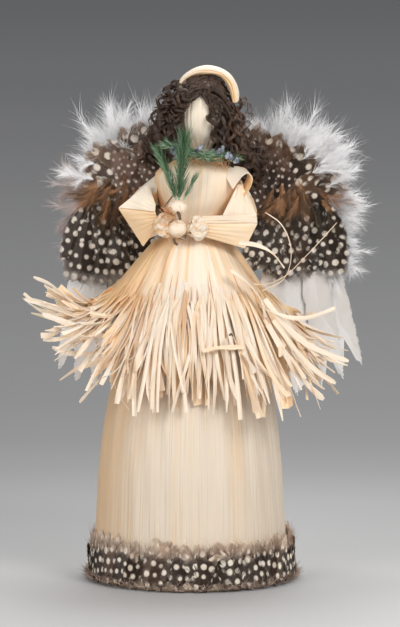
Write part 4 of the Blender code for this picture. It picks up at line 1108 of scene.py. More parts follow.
def fold_of_sleeve(bundle, chance, edge, far_edge, count, warm):
    """A flat fold of husk that fans out from a gathered edge."""
    out, across = grid_of(1, 30, 1, 41)
    near = np.array(edge[0]) * (1 - across[..., None]) + np.array(edge[1]) * across[..., None]
    far = np.array(far_edge[0]) * (1 - across[..., None]) + np.array(far_edge[1]) * across[..., None]
    face = near * (1 - out[..., None]) + far * out[..., None]
    pleat = np.abs(np.sin(across * count * math.pi + ripple(chance, across, waves=3) * 0.8))
    lift = pleat * 0.0005 * (1 - 0.75 * out) + 0.0014 * np.sin(math.pi * out) * np.sin(math.pi * across)
    lift = lift + ripple(chance, across * 2, out * 1.5, waves=4) * 0.00022
    face[..., 1] -= lift
    # Painted shade in the pleat valleys near the gathered edge.
    tint = warm + 0.45 * (1 - pleat) * (1 - out) ** 1.5
    lies = np.stack((across * 0.016, out * 0.02, tint), -1)
    run, rise = np.array(far_edge[0]) - np.array(edge[0]), np.array(edge[1]) - np.array(edge[0])
    if np.cross(rise, run)[1] > 0:
        face, lies = face[:, ::-1], lies[:, ::-1]
    bundle.leaves(face[None], lies, FOLD_WALL)


def sleeve(label, side, table):
    """A flattened husk tube with sharp folds, gathered into pleats at the wrist."""
    bundle, chance = start_piece(f"sleeve_{label}_husk")
    middle, long_axis, depth_axis = sleeve_frames(side, table)
    tail = middle[-1] + (middle[-1] - middle[-2]) * 0.22
    middle, long_axis, depth_axis = [
        np.concatenate((values, last)) for values, last in (
            (middle, tail[None]), (long_axis, long_axis[-1:]), (depth_axis, depth_axis[-1:]))]
    places = np.arange(len(middle), dtype=float)
    rows, columns = 40, 97
    part = np.linspace(0, places[-1], rows)
    soft = 0.18
    frames = []
    for values in (middle, long_axis, depth_axis):
        table_of = np.column_stack((places, values))
        frames.append(along(table_of, part) * (1 - soft) + smooth_along(table_of, part) * soft)
    turn = np.linspace(0, FULL_TURN, columns)
    turn[-1] -= 0.004
    corner = 1.5
    spread = np.sign(np.cos(turn)) * np.abs(np.cos(turn)) ** corner
    bulge = np.sign(np.sin(turn)) * np.abs(np.sin(turn)) ** corner
    share = (part / places[-1])[:, None]
    gather = np.clip((share - 0.55) / 0.45, 0, 1)
    narrow = 1 - 0.56 * gather ** 1.2
    pleat = np.abs(np.sin(turn * 8 + ripple(chance, turn / FULL_TURN, waves=3, reach=2.0) * 1.5)) - 0.5
    crumple = ripple(chance, turn / 5, share * 1.5, waves=4)
    depth = (1 + pleat * 0.22 * gather + crumple * 0.12) * (1 - 0.42 * gather)
    swell = 1 + 0.35 * gather * (1 - gather)
    frames[0][:, 0] -= side * 0.0022
    frames[0][:, 1] += 0.0010
    face = frames[0][:, None] + frames[1][:, None] * (spread[None] * narrow * 0.82)[..., None]
    face = face + frames[2][:, None] * (bulge[None] * depth * swell)[..., None]
    if side < 0:
        face = face[:, ::-1]
    across = np.broadcast_to(turn * 0.009, share.shape[:1] + turn.shape)
    # Painted shade: warmer on the lower facets and in the pleat valleys at the gathered wrist. The right
    # sleeve is also a little warmer all over.
    lower = np.clip(0.2 - spread * 3, 0, 1) * 0.8
    tint = 0.05 + 0.25 * (side > 0) + lower + gather ** 2 * (0.45 - 0.4 * pleat)
    lies = np.stack(np.broadcast_arrays(across, share * 0.045, tint), -1)
    bundle.leaves(face[None], lies, FOLD_WALL)
    for edge, far_edge, pleats_here, warm in SLEEVE_FOLDS[label]:
        fold_of_sleeve(bundle, chance, edge, far_edge, pleats_here, warm)
    bundle.piece(HUSK, "corn_husk", f"sleeve_{label}")


def wrist(side, table):
    """The end of a sleeve: its middle, the way it points and its upward axis."""
    middle, long_axis, _ = sleeve_frames(side, table)
    ahead = unit((middle[-1] - middle[-2]) * (1, 1, 0))
    return middle[-1], ahead, unit(long_axis[-1])


def cuff(label, side, table):
    """The gathered end of a sleeve: pleated ruffles of husk and torn fibres."""
    bundle, chance = start_piece(f"cuff_{label}_ruffle")
    start, ahead, upward = wrist(side, table)
    # Painted shade: the left cuff is warmer than the right, and each ruffle is warmer towards the wrist
    # and in its valleys.
    warm = 0.65 if side < 0 else 0.30
    sideways = unit(np.cross(ahead, upward))
    upward = np.cross(sideways, ahead)
    for layer, (wide, long, lobes) in enumerate(RUFFLES):
        part, turn = grid_of(1, 14, FULL_TURN - 0.01, 120)
        bent = ripple(chance, turn / FULL_TURN, part * 1.5, waves=5, reach=2.0)
        ruffle = np.sin(turn * lobes + layer + bent * 1.3 + part * 1.2)
        crumple = ripple(chance, turn / FULL_TURN, part * 0.8, waves=4, reach=1.2) * 0.10
        radius = CUFF_RADIUS * wide * (0.58 + 0.32 * np.sin(part * 2.6))
        radius = radius * (1 + 0.13 * ruffle * (0.5 + part) + crumple * 0.5)
        reach = CUFF_LENGTH * long * (part + 0.16 * ripple(chance, turn / 2, waves=3) * part)
        face = start + ahead * (reach - 0.0004)[..., None]
        face = face + upward * (radius * np.cos(turn))[..., None]
        face = face + sideways * (radius * np.sin(turn) * (1 - 0.30 * part))[..., None]
        lies = np.stack((turn * 0.006, part * 0.006, warm - 0.25 * part - 0.35 * ruffle), -1)
        bundle.leaves(face[None, :, ::-1], lies[:, ::-1], RUFFLE_WALL)
    fibres = 50 if side < 0 else 16
    root = start + ahead * chance.uniform(0.001, 0.006, (fibres, 1))
    root = root + chance.normal(0, 0.0022, (fibres, 3))
    root[:, 1] = start[1] - chance.uniform(0.002, 0.006, fibres)
    aim = unit(ahead + chance.normal(0, 0.7, (fibres, 3)))
    lines = bent_lines(chance, root, aim, CUFF_FIBRE, 0.0014 / CUFF_FIBRE, 6)
    bundle.rods(lines, 0.00013, chance.uniform(0.4, 1.3, fibres))
    bundle.piece(HUSK, "corn_husk", f"cuff_{label}")


# Drop from the neck, depth of the folds, and width and height as shares of a ball's
HANDS = (
    ("left", UPPER_HAND_DROP, 0.045, 1.16, 0.86),
    ("right", LOWER_HAND_DROP, 0.012, 1.02, 0.96),
)


def hand(label, drop, ribs, wide, high):
    """A knot of husk: a ball whose folds run from pole to pole."""
    name = f"hand_{label}_knot"
    chance = chance_for(name)
    bm = bmesh.new()
    bmesh.ops.create_uvsphere(bm, u_segments=64, v_segments=32, radius=HAND_RADIUS)
    lie = bm.verts.layers.float_vector.new("lie")
    centre = Vector((HAND_OFFSET, -HAND_FORWARD, NECK_HEIGHT - drop))
    phases = chance.uniform(0, FULL_TURN, 4)
    for vert in bm.verts:
        turn = math.atan2(vert.co.y, vert.co.x)
        rise = vert.co.z / HAND_RADIUS
        fold = math.sin(turn * 9 + phases[0]) * 0.6 + math.sin(turn * 14 + phases[1] + rise * 2) * 0.4
        lump = math.sin(turn * 2 + phases[2]) * 0.05
        vert.co *= 1 + ribs * fold * (1 - rise * rise) + lump
        vert.co.x *= wide
        vert.co.z *= high
        # Painted shade: warmer on the underside and in the fold valleys.
        tint = 0.3 * max(0, -rise) + 0.07 * (1 - fold)
        vert[lie] = (turn * HAND_RADIUS, rise * HAND_RADIUS, tint)
        vert.co += centre
    mesh = mesh_of(bm, name)
    mesh.shade_smooth()
    shown(mesh, HUSK, "corn_husk", f"hand_{label}")


# Head

WRAP_WALL = 0.0005


def head():
    """A smooth husk over the head, gathered at the neck, with its edges almost meeting behind."""
    bundle, chance = start_piece("head_husk_wrap")
    up, turn = grid_of(1, 60, FULL_TURN, 121)
    up = up ** 0.9
    radius = HEAD_RADIUS * smooth_along(HEAD_SHARES, up)[..., 0]
    gathers = ripple(chance, np.cos(turn), np.sin(turn), waves=6, reach=5.0)
    near_neck = band_at(up, 0.2, 0.16)
    radius = radius * (1 + 0.018 * gathers + 0.035 * np.sin(turn * 17) * near_neck)
    radius = np.maximum(radius, 0.0001)
    face = round_axis(turn, radius, HEAD_FOOT + HEAD_HEIGHT * up)
    face[..., 0] += HEAD_SHIFT
    # The tint rises at the gathers round the neck: painted shade.
    lies = np.stack((turn * HEAD_RADIUS, up * HEAD_HEIGHT, 0.04 + 0.06 * near_neck), -1)
    face[:, -1] = face[:, 0] + (face[:, -2] - face[:, 0]) * 0.02
    bundle.leaves(face[None], lies, WRAP_WALL)
    bundle.piece(HUSK, "corn_husk", "head_husk")


def crown_line(grow, count, depth):
    """A line over the crown from the left side to the right, that far outside the crown."""
    rows = [(HEAD_RADIUS * wide, HEAD_MIDDLE + HEAD_HEIGHT * up) for up, wide in CROWN_SHARES]
    route = np.array([(-x, z) for x, z in rows[:0:-1]] + rows)
    out = unit(np.stack((-np.gradient(route[:, 1]), np.gradient(route[:, 0])), -1))
    route = route + out * grow
    sideways = HEAD_SHIFT + CROWN_SHIFT + route[:, 0]
    points = np.column_stack((sideways, np.full(len(route), depth), route[:, 1]))
    return line_through(points, count)


# Sideways, height and half thickness of the band over the head, in metres
BAND_COURSE = (
    (-0.0072, 0.2478, 0.0006), (-0.0062, 0.2497, 0.0010), (-0.0042, 0.2521, 0.0013),
    (-0.0006, 0.2544, 0.0018), (0.0042, 0.2558, 0.0021), (0.0094, 0.2559, 0.0020),
    (0.0136, 0.2547, 0.0019), (0.0169, 0.2524, 0.0020), (0.0193, 0.2487, 0.0021),
    (0.0205, 0.2447, 0.0021), (0.0210, 0.2405, 0.0015),
)


def head_band():
    """A husk rolled into a band, with grooves that twist slowly round it."""
    bundle, chance = start_piece("head_band_roll")
    course = [(x, -0.0015 - 0.00006 * place ** 2, z) for place, (x, z, _) in enumerate(BAND_COURSE)]
    line = line_through(course, 80)
    ahead = unit(np.gradient(line, axis=0))
    back = np.broadcast_to((0, 1.0, 0), ahead.shape)
    out = np.cross(back, ahead)
    share = np.linspace(0, 1, len(line))[:, None]
    turn = np.linspace(0, FULL_TURN - 0.01, 61)[None]
    size = np.interp(share, np.linspace(0, 1, len(BAND_COURSE)), [thick for _, _, thick in BAND_COURSE])
    groove = ripple(chance, turn / FULL_TURN + share * 0.5, waves=5, reach=7.0)
    fold = band_at(turn, 4.35 + 0.8 * share, 0.14)
    radius = size * (1 + 0.07 * groove - 0.22 * fold)
    face = line[:, None] + out[:, None] * (radius * np.cos(turn))[..., None]
    face = face + back[:, None] * (radius * np.sin(turn) * 1.6)[..., None]
    # Painted shade: warmer on the band's inner side, more so towards its right end, and in its fold.
    inside = 0.1 + 0.55 * np.clip((share - 0.5) * 4, 0, 1)
    warm = 0.04 + 0.9 * np.clip(inside + np.cos(turn + 0.3), 0, 1) ** 1.5 + 0.6 * fold
    lies = np.stack(np.broadcast_arrays(turn * 0.003, share * 0.05, warm), -1)
    bundle.leaves(face[None], lies, WRAP_WALL)
    bundle.piece(HUSK, "corn_husk", "head_band")


# Hair

STRAND_RADIUS = 0.00018
STRAY_RADIUS = 0.00011
CURL_RINGS = 22
CROWN_RINGS = 18


def curl_lock(
        bundle, chance, line, wide, turns, strands, rope, tints, radius=STRAND_RADIUS, rings=CURL_RINGS):
    """Strands that stay together as one rope, which coils round a line. Wide is the coil's radius
    and rope the rope's own. Wide and turns are numbers, or ranges to pick from."""
    wide, turns = picked(chance, wide), picked(chance, turns)
    share = np.linspace(0, 1, rings)
    centre = line_through(line, rings)
    ahead = unit(np.gradient(centre, axis=0))
    side = unit(np.cross(ahead, (0.21, 1.0, 0.13)))
    other = np.cross(ahead, side)
    phase = chance.uniform(0, FULL_TURN) + chance.choice((-1, 1)) * turns * FULL_TURN * share
    size = (wide * np.clip(share * 5, 0.3, 1) * (1 - 0.3 * share))[:, None]
    out = side * np.cos(phase)[:, None] + other * np.sin(phase)[:, None]
    centre = centre + out * size
    tight = np.clip(1.15 - share ** 3, 0.2, 1)[:, None] * np.clip(share * 8 + 0.2, 0, 1)[:, None]
    lines = []
    for _ in range(strands):
        place, reach = chance.uniform(0, FULL_TURN), rope * math.sqrt(chance.random())
        twist = place + share * chance.uniform(0.5, 3.0)
        round_rope = out * np.cos(twist)[:, None] + ahead * np.sin(twist)[:, None]
        aside = chance.normal(0, rope * 0.4)
        lines.append(centre + (round_rope * reach + other * aside) * tight)
    radii = radius * np.clip((1.05 - share) * 4, 0.25, 1)[None] * chance.uniform(0.7, 1.25, (strands, 1))
    tint = np.clip(chance.uniform(*tints) + chance.normal(0, 0.16, strands), 0, 1)
    bundle.rods(np.array(lines), radii, tint)


def hair_core(bundle, points, radii):
    """The dark mass inside the curls."""
    line = line_through(points, 20)
    size = np.interp(np.linspace(0, 1, 20), np.linspace(0, 1, len(radii)), radii)
    bundle.rods(line[None], size[None], np.array([0.1]), sides=14)


# Sideways and height in metres of the hair's edge beside the face and of its outer edge, from the
# parting down
LEFT_INNER_EDGE = (
    (0.0040, 0.2455), (0.0016, 0.2428), (-0.0018, 0.2384), (-0.0040, 0.2337), (-0.0047, 0.2287),
    (-0.0048, 0.2230), (-0.0060, 0.2170), (-0.0150, 0.2080),
)
LEFT_OUTER_EDGE = (
    (-0.0072, 0.2510), (-0.0137, 0.2466), (-0.0172, 0.2418), (-0.0199, 0.2353), (-0.0217, 0.2272),
    (-0.0240, 0.2210), (-0.0250, 0.2140), (-0.0285, 0.2060),
)
RIGHT_INNER_EDGE = (
    (0.0040, 0.2455), (0.0022, 0.2428), (0.0044, 0.2388), (0.0058, 0.2337), (0.0072, 0.2297),
    (0.0080, 0.2240), (0.0094, 0.2150), (0.0210, 0.2030), (0.0260, 0.1920),
)
RIGHT_OUTER_EDGE = (
    (0.0190, 0.2490), (0.0235, 0.2430), (0.0267, 0.2393), (0.0280, 0.2337), (0.0288, 0.2236),
    (0.0318, 0.2195), (0.0368, 0.2130), (0.0360, 0.2010), (0.0325, 0.1900),
)


def hair_side(label, side, inner, outer):
    """Big soft curls that hang from the parting past the face, over a dark mass."""
    bundle, chance = start_piece(f"curls_{label}")
    inner = line_through([(x, 0, z) for x, z in inner], 60)
    outer = line_through([(x, 0, z) for x, z in outer], 60)

    def spot(down, out, deep, margin=0.0):
        down = np.clip(down, 0, 1) * 59
        low = np.minimum(down.astype(int), 58)
        part = (down - low)[..., None]
        near = inner[low] * (1 - part) + inner[low + 1] * part
        far = outer[low] * (1 - part) + outer[low + 1] * part
        wide = np.linalg.norm(far - near, axis=-1)
        out = np.clip(out, margin / wide, 1.03 - 0.6 * margin / wide)
        place = near + (far - near) * out[..., None]
        front = 0.0104 + 0.0026 * np.sin(math.pi * np.clip(down / 59 * 1.4, 0, 1))
        behind = 0.0105 * np.clip((down / 59 - 0.56) * 5, 0, 1)
        place[..., 1] = -front + 0.0075 * out ** 2 + deep + behind
        return place

    for out, deep, size in ((0.35, 0.0050, 0.0034), (0.68, 0.0045, 0.0036), (0.5, 0.0100, 0.0045)):
        down = np.linspace(0.16, 0.93, 8)
        taper = np.array((0.3, 0.7, 1, 1, 1, 1, 0.8, 0.4))
        hair_core(bundle, spot(down, np.full(8, out), deep), taper * size)
    for index in range(46):
        wide = chance.uniform(0.0017, 0.0028)
        begin = chance.uniform(0.0, 0.80)
        reach = chance.uniform(0.22, 0.40)
        down = begin + np.linspace(0, reach, 4)
        out = chance.uniform(0.0, 1.0) + np.cumsum(chance.normal(0, 0.06, 4))
        deep = (0.0, 0.0012, 0.0030)[index % 3]
        line = spot(down, out, deep, wide + 0.0006)
        # Locks high on the outer right get a redder range: partly the hair's own red, partly a painted
        # highlight where the light falls.
        red = (0.3, 0.8) if side > 0 and 0.5 < out[0] and 0.10 < begin < 0.40 else (0.0, 0.55)
        curl_lock(bundle, chance, line, wide, reach * chance.uniform(5.5, 8.5), 17, 0.00085, red)
    for _ in range(16):
        begin = chance.uniform(0.0, 0.12)
        down = begin + np.linspace(0.02, chance.uniform(0.12, 0.26), 4)
        line = spot(down, chance.uniform(0.0, 0.6) + np.linspace(0, 0.1, 4), -0.0003, 0.0012)
        line[0] = (0.0052 + side * 0.0008, -0.0098, 0.2462 + chance.normal(0, 0.0010))
        curl_lock(bundle, chance, line, (0.0006, 0.0012), (0.8, 1.6), 13, 0.0006, (0.0, 0.4))
    for _ in range(9):
        down = np.linspace(0.0, chance.uniform(0.10, 0.22), 4)
        out = chance.uniform(0.45, 0.95) + np.linspace(0, 0.1, 4)
        line = spot(down, out, chance.uniform(0.002, 0.006), 0.0010)
        curl_lock(bundle, chance, line, (0.0010, 0.0018), (0.8, 1.6), 15, 0.0008, (0.0, 0.5))
    for _ in range(26):
        begin = chance.uniform(0.05, 0.85)
        down = begin + np.linspace(0, chance.uniform(0.1, 0.25), 4)
        out = chance.uniform(0.85, 1.0) + np.linspace(0, chance.uniform(0, 0.2), 4)
        line = spot(down, out, 0.0)
        curl_lock(bundle, chance, line, 0.0016, (1.2, 2.2), 2, 0.0005, (0.3, 0.9), radius=STRAY_RADIUS)
    bundle.piece(HAIR, "curly_hair", f"hair_{label}", crisp=False)


def hair_crown():
    """Fine hair combed from the parting under the band, over a dark mass."""
    bundle, chance = start_piece("curls_crown")
    for depth in (-0.0080, -0.0045, 0.0, 0.0045, 0.0080):
        line = crown_line(-0.0022 - abs(depth) * 0.34, 9, depth)[1:8]
        hair_core(bundle, line, [0.0006, 0.0018, 0.0024, 0.0026, 0.0024, 0.0018, 0.0006])
    over = crown_line(0.0002, 41, 0.0)
    for index in range(104):
        side = -1 if index % 2 else 1
        begin = 22 + side * chance.integers(0, 3)
        end = 22 + side * chance.integers(8, 15)
        picks = np.linspace(begin, end, 5).astype(int)
        depth = chance.uniform(-0.0118, 0.0100) if index % 3 else chance.uniform(-0.0118, -0.0095)
        line = over[picks].copy()
        line[:, 1] = depth * np.linspace(0.80, 1.08, 5)
        line[:, 2] -= (np.abs(line[:, 1]) / 0.0115) ** 2 * 0.0052 + chance.uniform(0, 0.0010)
        curl_lock(
            bundle, chance, line, (0.0003, 0.0009), (0.6, 1.6), 12, 0.0006, (0.0, 0.5), rings=CROWN_RINGS)
    bundle.piece(HAIR, "curly_hair", "hair_crown", crisp=False)


def hair_back():
    """Curls down the back of the head, over a dark mass."""
    bundle, chance = start_piece("curls_back")
    for turn in np.radians((125, 150, 180, 210, 235)):
        points = round_axis(turn, (0.0105, 0.0128, 0.0130, 0.0125), (0.2430, 0.234, 0.225, 0.2150))
        hair_core(bundle, points + (HEAD_SHIFT, 0, 0), [0.0028] * 4)
    for _ in range(56):
        turn = math.radians(chance.uniform(112, 248))
        top, foot = chance.uniform(0.228, 0.2465), chance.uniform(0.2145, 0.224)
        heights = np.linspace(top, foot, 4)
        radius = np.interp(heights, (0.214, 0.236, 0.247), (0.0142, 0.0148, 0.0100))
        radius = radius + chance.normal(0, 0.0006)
        points = round_axis(turn + chance.normal(0, 0.06, 4), radius, heights) + (HEAD_SHIFT, 0, 0)
        curl_lock(bundle, chance, points, (0.0013, 0.0021), (1.8, 3.0), 12, 0.0007, (0.0, 0.5))
    bundle.piece(HAIR, "curly_hair", "hair_back", crisp=False)


# Greenery

NEEDLE_RINGS = 5
GARLAND_NEEDLES = 440
FIBRE_RINGS = 6


def needles(chance, stem, count, length, spread, radius):
    """Needles that leave a stem forwards on all its sides."""
    places = chance.uniform(0.0, 1.0, count) * (len(stem) - 1)
    low = np.minimum(places.astype(int), len(stem) - 2)
    part = (places - low)[:, None]
    root = stem[low] * (1 - part) + stem[low + 1] * part
    ahead = unit(stem[low + 1] - stem[low])
    around = unit(np.cross(ahead, chance.normal(0, 1, (count, 3))))
    aim = unit(ahead + around * chance.uniform(spread * 0.6, spread * 1.3, (count, 1)))
    reach = length * chance.uniform(0.6, 1.2, (count, 1, 1))
    share = np.linspace(0, 1, NEEDLE_RINGS)[None, :, None]
    lines = root[:, None] + (aim[:, None] * share + ahead[:, None] * 0.25 * share ** 2) * reach
    radii = radius * np.sin(math.pi * (0.16 + share[0, :, 0] * 0.80))[None]
    return lines, np.broadcast_to(radii, lines.shape[:2])


# Stem, needles, their length, spread and radius of each frond in the hands
SPRIGS = (
    ("tall", ((-0.0072, -0.0205, 0.1930), (-0.0062, -0.0215, 0.2080), (-0.0048, -0.0200, 0.2222)),
     560, 0.0082, 0.60, 0.00017),
    ("side", ((-0.0086, -0.0200, 0.1930), (-0.0116, -0.0205, 0.2040), (-0.0172, -0.0195, 0.2165)),
     330, 0.0064, 0.55, 0.00016),
    ("small", ((-0.0048, -0.0200, 0.1930), (-0.0018, -0.0200, 0.1990), (0.0008, -0.0195, 0.2045)),
     90, 0.0046, 0.36, 0.00014),
)


def sprig(label, points, count, length, spread, radius):
    """One frond in the hands: a stem with needles all along it."""
    bundle, chance = start_piece(f"sprig_{label}_needles")
    stem = line_through(points, 24)
    bundle.rods(stem[None], np.linspace(0.00055, 0.0002, 24)[None], np.array([0.8]), sides=6)
    lines, radii = needles(chance, stem, count, length, spread, radius)
    tint = np.clip(chance.uniform(0, 0.75, count) + chance.normal(0, 0.1, count), 0, 1)
    bundle.rods(lines, radii, tint, flat=0.6)
    bundle.piece(GREEN, "green_sprig", f"sprig_{label}")


def garland_line(count):
    """The garland's stem, across the chest under the chin."""
    rows = np.array(GARLAND_SHARES)
    points = np.stack((rows[:, 0], -rows[:, 2], rows[:, 1]), -1) * BODICE_HALF_WIDTH
    return line_through(points + (HEAD_SHIFT, 0, NECK_HEIGHT), count)


def garland():
    """Needles that leave the garland's stem both ways."""
    bundle, chance = start_piece("garland_needles")
    stem = garland_line(40)
    bundle.rods(stem[None], np.full((1, 40), 0.0005), np.array([0.3]), sides=8)
    for way in (stem, stem[::-1]):
        lines, radii = needles(chance, way, GARLAND_NEEDLES, 0.0046, 1.0, 0.00024)
        bundle.rods(lines, radii, chance.uniform(0, 0.9, GARLAND_NEEDLES), flat=0.6)
    bundle.piece(GREEN, "green_sprig", "garland")


def loose_fibres(bundle, chance, root, aim, radius, warmest):
    """Short reddish fibres of husk."""
    reach = chance.uniform(0.002, 0.0050, (len(root), 1, 1))
    lines = bent_lines(chance, root, aim, reach, 0.3, FIBRE_RINGS)
    bundle.rods(lines, radius, chance.uniform(0.0, warmest, len(root)))
    bundle.piece(SHADE_AND_REDDISH_HUSK, "corn_husk")


def neck_fibres():
    """Fibres under the garland, most of them on its right half."""
    bundle, chance = start_piece("neck_fibres")
    count = 84
    stem = garland_line(60)
    on_left = chance.random(count) < 0.35
    picks = np.where(on_left, chance.normal(25, 2.5, count), chance.normal(46, 6, count))
    picks = np.clip(picks, 18, 58).astype(int)
    root = stem[picks] + chance.normal(0, 0.0008, (count, 3)) + (0, -0.0006, -0.0006)
    aim = unit(np.array((0.25, -0.15, -0.6)) + chance.normal(0, 0.6, (count, 3)) * (1, 0.25, 0.6))
    loose_fibres(bundle, chance, root, aim, 0.00013, 1.3)


def hand_fibres():
    """Fibres that stick out between the hands and the left cuff."""
    bundle, chance = start_piece("hand_fibres")
    count = 46
    middle = np.array((-0.0125, -0.0268, 0.1868))
    root = middle + chance.normal(0, 1, (count, 3)) * (0.0022, 0.0008, 0.0014)
    aim = unit(chance.normal(0, 1, (count, 3)) * (1.0, 0.25, 0.6) + (0.3, -0.1, 0.1))
    loose_fibres(bundle, chance, root, aim, 0.00015, 1.0)


# Middle line in metres and radius of the dark ends: the stub between the hands, the bent twig, the
# two ends at the waist and the one on the strips
STEM_ENDS = (
    (((-0.0078, -0.0275, 0.1880), (-0.0070, -0.0282, 0.1862), (-0.0066, -0.0284, 0.1840)), 0.0009),
    (((-0.0104, -0.0205, 0.1950), (-0.0124, -0.0225, 0.1925), (-0.0150, -0.0235, 0.1890)), 0.0004),
    (((-0.0097, -0.0262, 0.1745), (-0.0090, -0.0275, 0.1722), (-0.0078, -0.0278, 0.1714)), 0.0008),
    (((-0.0070, -0.0278, 0.1748), (-0.0050, -0.0280, 0.1745), (-0.0036, -0.0276, 0.1755)), 0.0004),
    (((0.0178, -0.0455, 0.1285), (0.0188, -0.0460, 0.1294), (0.0194, -0.0458, 0.1280)), 0.0005),
)


def stem_ends():
    """Dark bits of stem."""
    bundle = Bundle("stem_ends")
    for points, radius in STEM_ENDS:
        line = line_through(points, 10)
        radii = radius * (1 - 0.3 * np.linspace(0, 1, 10))
        bundle.rods(line[None], radii[None], np.array([0.3]), sides=9)
    bundle.piece(OLIVE, "green_sprig")


# Middle of each small cluster of berries and how many there are in it
BERRY_CLUSTERS = {
    "left": (((-0.0088, -0.0142, 0.2165), 6), ((-0.0066, -0.0150, 0.2185), 4)),
    "centre": (((0.0025, -0.0150, 0.2180), 6),),
    "right": (((0.0130, -0.0145, 0.2168), 7), ((0.0175, -0.0138, 0.2140), 8),
        ((0.0205, -0.0130, 0.2120), 4)),
}


def berries(label, clusters):
    """Small round berries, heaped in clusters."""
    name = f"berries_{label}_cluster"
    chance = chance_for(name)
    bm = bmesh.new()
    for centre, count in clusters:
        for _ in range(count):
            spot = np.array(centre) + chance.normal(0, 0.0009, 3)
            made = bmesh.ops.create_icosphere(bm, subdivisions=2, radius=chance.uniform(0.0009, 0.0013))
            bmesh.ops.translate(bm, verts=made["verts"], vec=Vector(spot))
    mesh = mesh_of(bm, name)
    mesh.shade_smooth()
    shown(mesh, BERRY, "blue_berry", f"berries_{label}")


# Feathers

BARB_RINGS = 3
PLUME_RINGS = 3
WISP_RINGS = 4


def feather(chance, length, width, shape, barbs, slant, bow=0.05, cup=0.12, loose=0.35, soft=0.2):
    """A feather in its own place: across X, towards its face -Y, root to tip along Z.
    Bow is how far it bends forward, cup how hollow it is, loose how its barbs clump and soft how
    thin they end. Gives the barbs' lines, radii and lies, and the quill's line."""
    along_quill = np.linspace(0.06, 0.995, barbs)
    table = np.array(shape, float)
    half = width / 2 * np.interp(along_quill, table[:, 0], table[:, 1])
    lines, radii, lies = [], [], []
    share = np.linspace(0, 1, BARB_RINGS)
    for side in (-1, 1):
        clump = ripple(chance, along_quill, waves=4, reach=7.0) * loose
        lean = np.radians(slant) * (1 - 0.45 * along_quill ** 3) * (1 + 0.12 * clump)
        reach = half / np.maximum(np.sin(lean), 0.2) * (1 + chance.normal(0, 0.04, barbs) + 0.05 * clump)
        curve = share ** 2 * 0.18
        across = reach[:, None] * np.sin(lean)[:, None] * (share - curve * 0.35)
        forward = reach[:, None] * np.cos(lean)[:, None] * (share + curve * 0.5)
        height = along_quill[:, None] * length + forward
        dip = -cup * across ** 2 / (width / 2) + chance.normal(0, 0.00012, (barbs, 1)) * share
        bend = bow * length * np.sin(math.pi * np.clip(height / length, 0, 1))
        lines.append(np.stack((side * across, -dip - bend, height), -1))
        step = length / barbs
        thin = (1 - soft * share ** 2 * 2.2).clip(0.2, 1)
        radii.append(np.broadcast_to(step * 0.66 * thin, (barbs, BARB_RINGS)))
        lies.append(np.stack((side * across, height, np.zeros_like(across)), -1))
    quill_share = np.linspace(0, 1, 10)
    quill = np.stack((
        np.zeros(10), -bow * length * np.sin(math.pi * quill_share) - 0.0001, quill_share * length), -1)
    return np.concatenate(lines), np.concatenate(radii), np.concatenate(lies), quill


def set_place(points, matrix):
    """Points of a piece in its own place, moved to where the matrix puts them."""
    matrix = np.array(matrix)
    return points @ matrix[:3, :3].T + matrix[:3, 3]


def wing_back():
    """How far back the wings start, so that their lean clears the bodice."""
    rows = bodice_rows()
    reach = [depth + math.tan(WING_LEAN) * (height - WING_HEIGHT) for height, _, depth, _ in rows]
    return max(reach) + BODICE_WALL + GAP


def wing_frame(side):
    """The middle of a wing's plane, turned back and leaning."""
    turn = Euler((WING_LEAN, 0, side * WING_SWEEP)).to_matrix().to_4x4()
    return Matrix.Translation((WING_SHIFT, wing_back(), WING_HEIGHT)) @ turn


def feather_matrix(side, out, up, layer, degrees, tip_lift=0.0, roll=0.0):
    """Root place in the wing's plane, and the direction in degrees that the feather points to."""
    turn = math.radians(degrees) - math.pi / 2
    inside = Matrix.Translation((side * out, layer, up))
    return (
        wing_frame(side) @ inside @ Matrix.Rotation(-side * turn, 4, "Y")
        @ Matrix.Rotation(tip_lift, 4, "X") @ Matrix.Rotation(roll, 4, "Z"))


COVERT_SHAPE = (
    (0.0, 0.30), (0.18, 0.78), (0.45, 1.0), (0.75, 0.94), (0.90, 0.62), (0.97, 0.30), (1.0, 0.08),
)
HEM_SHAPE = ((0.0, 0.90), (0.30, 1.0), (0.70, 0.92), (0.90, 0.60), (1.0, 0.12))
FLIGHT_SHAPE = ((0.0, 0.20), (0.12, 0.62), (0.40, 1.0), (0.80, 0.95), (0.94, 0.80), (1.0, 0.45))


def add_feather(bundle, chance, matrix, length, width, barbs, slant, tint, shape=COVERT_SHAPE, **looks):
    """A feather with its quill, at the place that the matrix gives."""
    lines, radii, lies, quill = feather(chance, length, width, shape, barbs, slant, **looks)
    lies = lies + (0, 0, tint)
    bundle.told_rods(set_place(lines, matrix), radii, lies)
    taper = np.linspace(0.00035, 0.0001, 10)
    bundle.rods(set_place(quill, matrix)[None], taper[None], np.array([tint]), sides=4)


def coverts(label, side, kind, rows, finish, *nodes):
    """Overlapping spotted feathers. Rows give how many, from and to which place, direction and size."""
    bundle, chance = start_piece(f"{kind}_{label}_feathers")
    layer = -0.0006 if nodes else -0.0042
    for count, first, last, length, width in rows:
        for index in range(count):
            part = index / max(1, count - 1)
            out, up, degrees = [a + (b - a) * part for a, b in zip(first, last)]
            out, up = out + chance.normal(0, 0.0012), up + chance.normal(0, 0.0012)
            matrix = feather_matrix(
                side, out, up, layer, degrees + chance.normal(0, 4), 0.05 + chance.uniform(0, 0.10),
                chance.normal(0, 0.12))
            long = length * chance.uniform(0.82, 1.12)
            add_feather(bundle, chance, matrix, long, width * chance.uniform(0.9, 1.1), 64, 50,
                        chance.random(), soft=0.32)
        layer -= 0.0006
    bundle.piece(finish, "spotted_feather", *nodes)


# The model's own clearance, span and reach of the flight feathers
FLIGHT_CLEARANCE = 0.0056
WING_SPAN = 0.0860
FLIGHT_REACH = 0.0790
# Share of the span where each root sits and share of the reach
FLIGHT_SHARES = ((0.000, 0.97), (0.083, 1.00), (0.184, 0.98), (0.285, 0.94), (0.386, 0.88))


